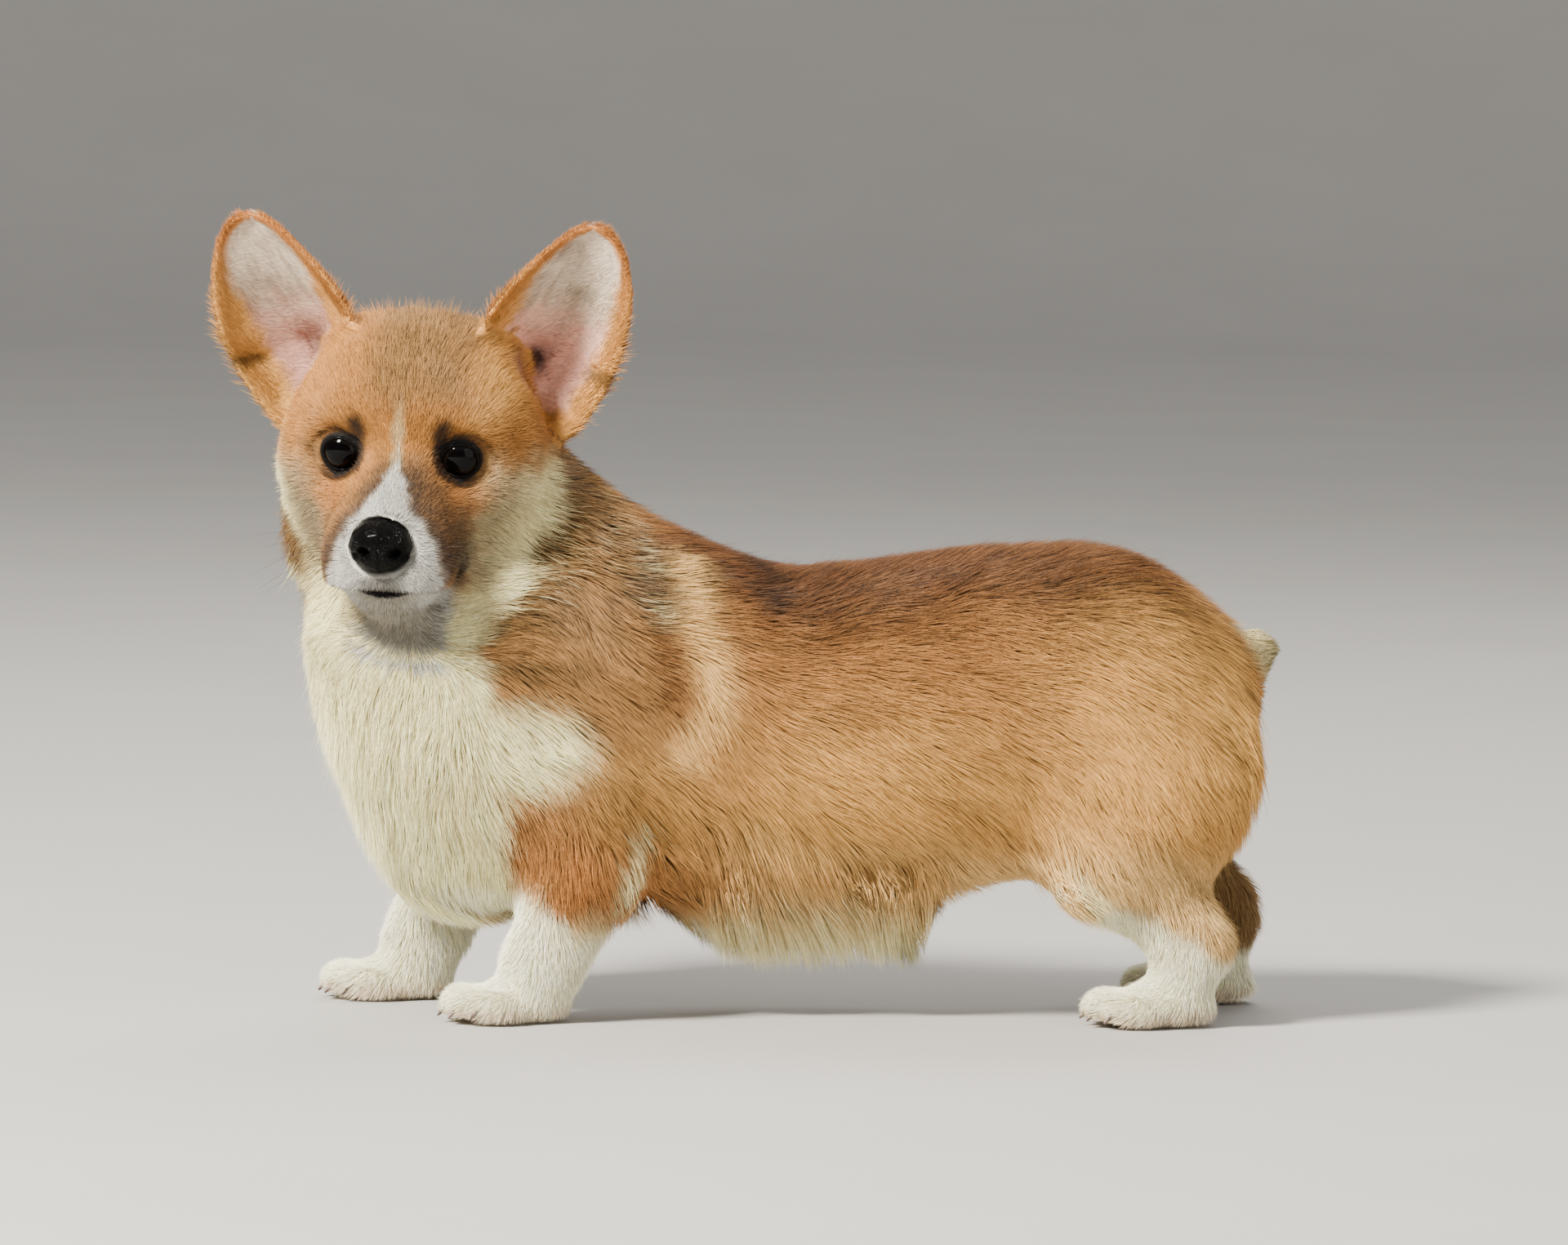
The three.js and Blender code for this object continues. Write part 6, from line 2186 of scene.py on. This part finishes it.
@dataclass
class Claws:
    """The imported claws, rounded and given their horn."""

    levels: int = 2

    def dress(self) -> None:
        """Rounds every claw and gives it horn."""
        horn = HornFinish("claw_horn").make()
        for name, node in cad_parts.items():
            if not name.startswith("claw_"):
                continue
            weld = node.modifiers.new("weld", "WELD")
            weld.merge_threshold = 0.02 * METRES
            rounder = node.modifiers.new("round", "SUBSURF")
            rounder.levels = self.levels
            rounder.render_levels = self.levels
            node.data.materials.clear()
            node.data.materials.append(horn)
        LOG.info("claws dressed")


# Floor, light and camera


@dataclass
class Studio:
    """A pale floor, soft light from the upper left of the camera, and the camera."""

    azimuth: float = math.radians(85)
    elevation: float = math.radians(4.4)
    roll: float = math.radians(1.0)
    distance: float = 4.0
    width_seen: float = 0.62592
    target: Place = (-0.012841, 0.014073, 0.156)
    sensor: float = 36.0

    def axes(self) -> tuple[Array, Array, Array]:
        """Right, up and back of the camera."""
        a, e, r = self.azimuth, self.elevation, self.roll
        back = np.array([math.sin(a) * math.cos(e), -math.cos(a) * math.cos(e), math.sin(e)])
        right = unit(np.cross(UP, back))
        up = np.cross(back, right)
        return right * math.cos(r) + up * math.sin(r), up * math.cos(r) - right * math.sin(r), back

    def build(self) -> None:
        """Sets up floor, lights, world and camera."""
        self.floor()
        self.lights()
        self.camera()
        LOG.info("studio built")

    def floor(self) -> None:
        """Lays a round floor that rises to a wall far off."""
        sides = 96
        turn = np.arange(sides) * math.tau / sides
        profile = [(0.02, 0.0), (1.5, 0.0), (3.5, 0.0), (5.5, 0.0)]
        for n in range(1, 13):
            angle = math.radians(90) * n / 12
            profile.append((5.5 + 2.5 * math.sin(angle), 2.5 - 2.5 * math.cos(angle)))
        profile.append((8.0, 5.0))
        rings = [np.column_stack([np.cos(turn) * r, np.sin(turn) * r, np.full(sides, h)]) for r, h in profile]
        points = np.concatenate(rings) / METRES
        faces = []
        for ring in range(len(profile) - 1):
            for k in range(sides):
                a = ring * sides + k
                b = ring * sides + (k + 1) % sides
                faces += [(a, a + sides, b + sides), (a, b + sides, b)]
        faces += [(0, k, k + 1) for k in range(1, sides - 1)]
        shaped("floor", Surface(points, np.array(faces)), FloorFinish("floor").make())

    def lights(self) -> None:
        """Hangs a key light, a wide fill light, a light from behind and a pale world."""
        right, up, back = self.axes()
        target = np.array(self.target)
        lamps = (("key", back * 1.6 - right * 1.45 + up * 1.8, 0.6, 352.0, (1.0, 0.95, 0.86)),
                 ("fill", back * 1.6 + right * 1.8 + up * 0.6, 2.2, 27.0, (1.0, 0.98, 0.95)),
                 ("rim", -back * 1.4 + right * 0.3 + up * 1.8, 1.2, 38.0, (1.0, 0.96, 0.9)))
        for name, offset, size, power, colour in lamps:
            lamp = bpy.data.lights.new(name, "AREA")
            lamp.size = size
            lamp.energy = power
            lamp.color = colour
            away = unit(offset)
            side = unit(np.cross(UP, away))
            thing_of(name, lamp).matrix_world = stood((side, np.cross(away, side), away), target + offset)
        world = bpy.data.worlds.new("studio")
        world.use_nodes = True
        sky = world.node_tree.nodes["Background"].inputs
        sky["Color"].default_value = (0.9, 0.9, 0.9, 1)
        sky["Strength"].default_value = 0.78
        bpy.context.scene.world = world

    def camera(self) -> None:
        """Places the camera at the angle of the picture."""
        axes = self.axes()
        lens = bpy.data.cameras.new("camera")
        lens.sensor_width = self.sensor
        lens.lens = self.sensor * self.distance / self.width_seen
        lens.clip_end = 50.0
        camera = thing_of("camera", lens)
        camera.matrix_world = stood(axes, np.array(self.target) + axes[2] * self.distance)
        bpy.context.scene.camera = camera


def main() -> None:
    """Builds every piece in order and writes the sizes."""
    marks = Marks()
    skin = Skin(CoatMap(), marks)
    skin.build()
    skin.dress()
    for eye in EYES:
        eye.build()
    Lids().build()
    Nose().build()
    Coat(skin, marks).build()
    Whiskers(skin).build()
    Claws().dress()
    Studio().build()


if __name__ == "__main__":
    logging.basicConfig(level=logging.INFO, format="%(name)s: %(message)s")
    main()
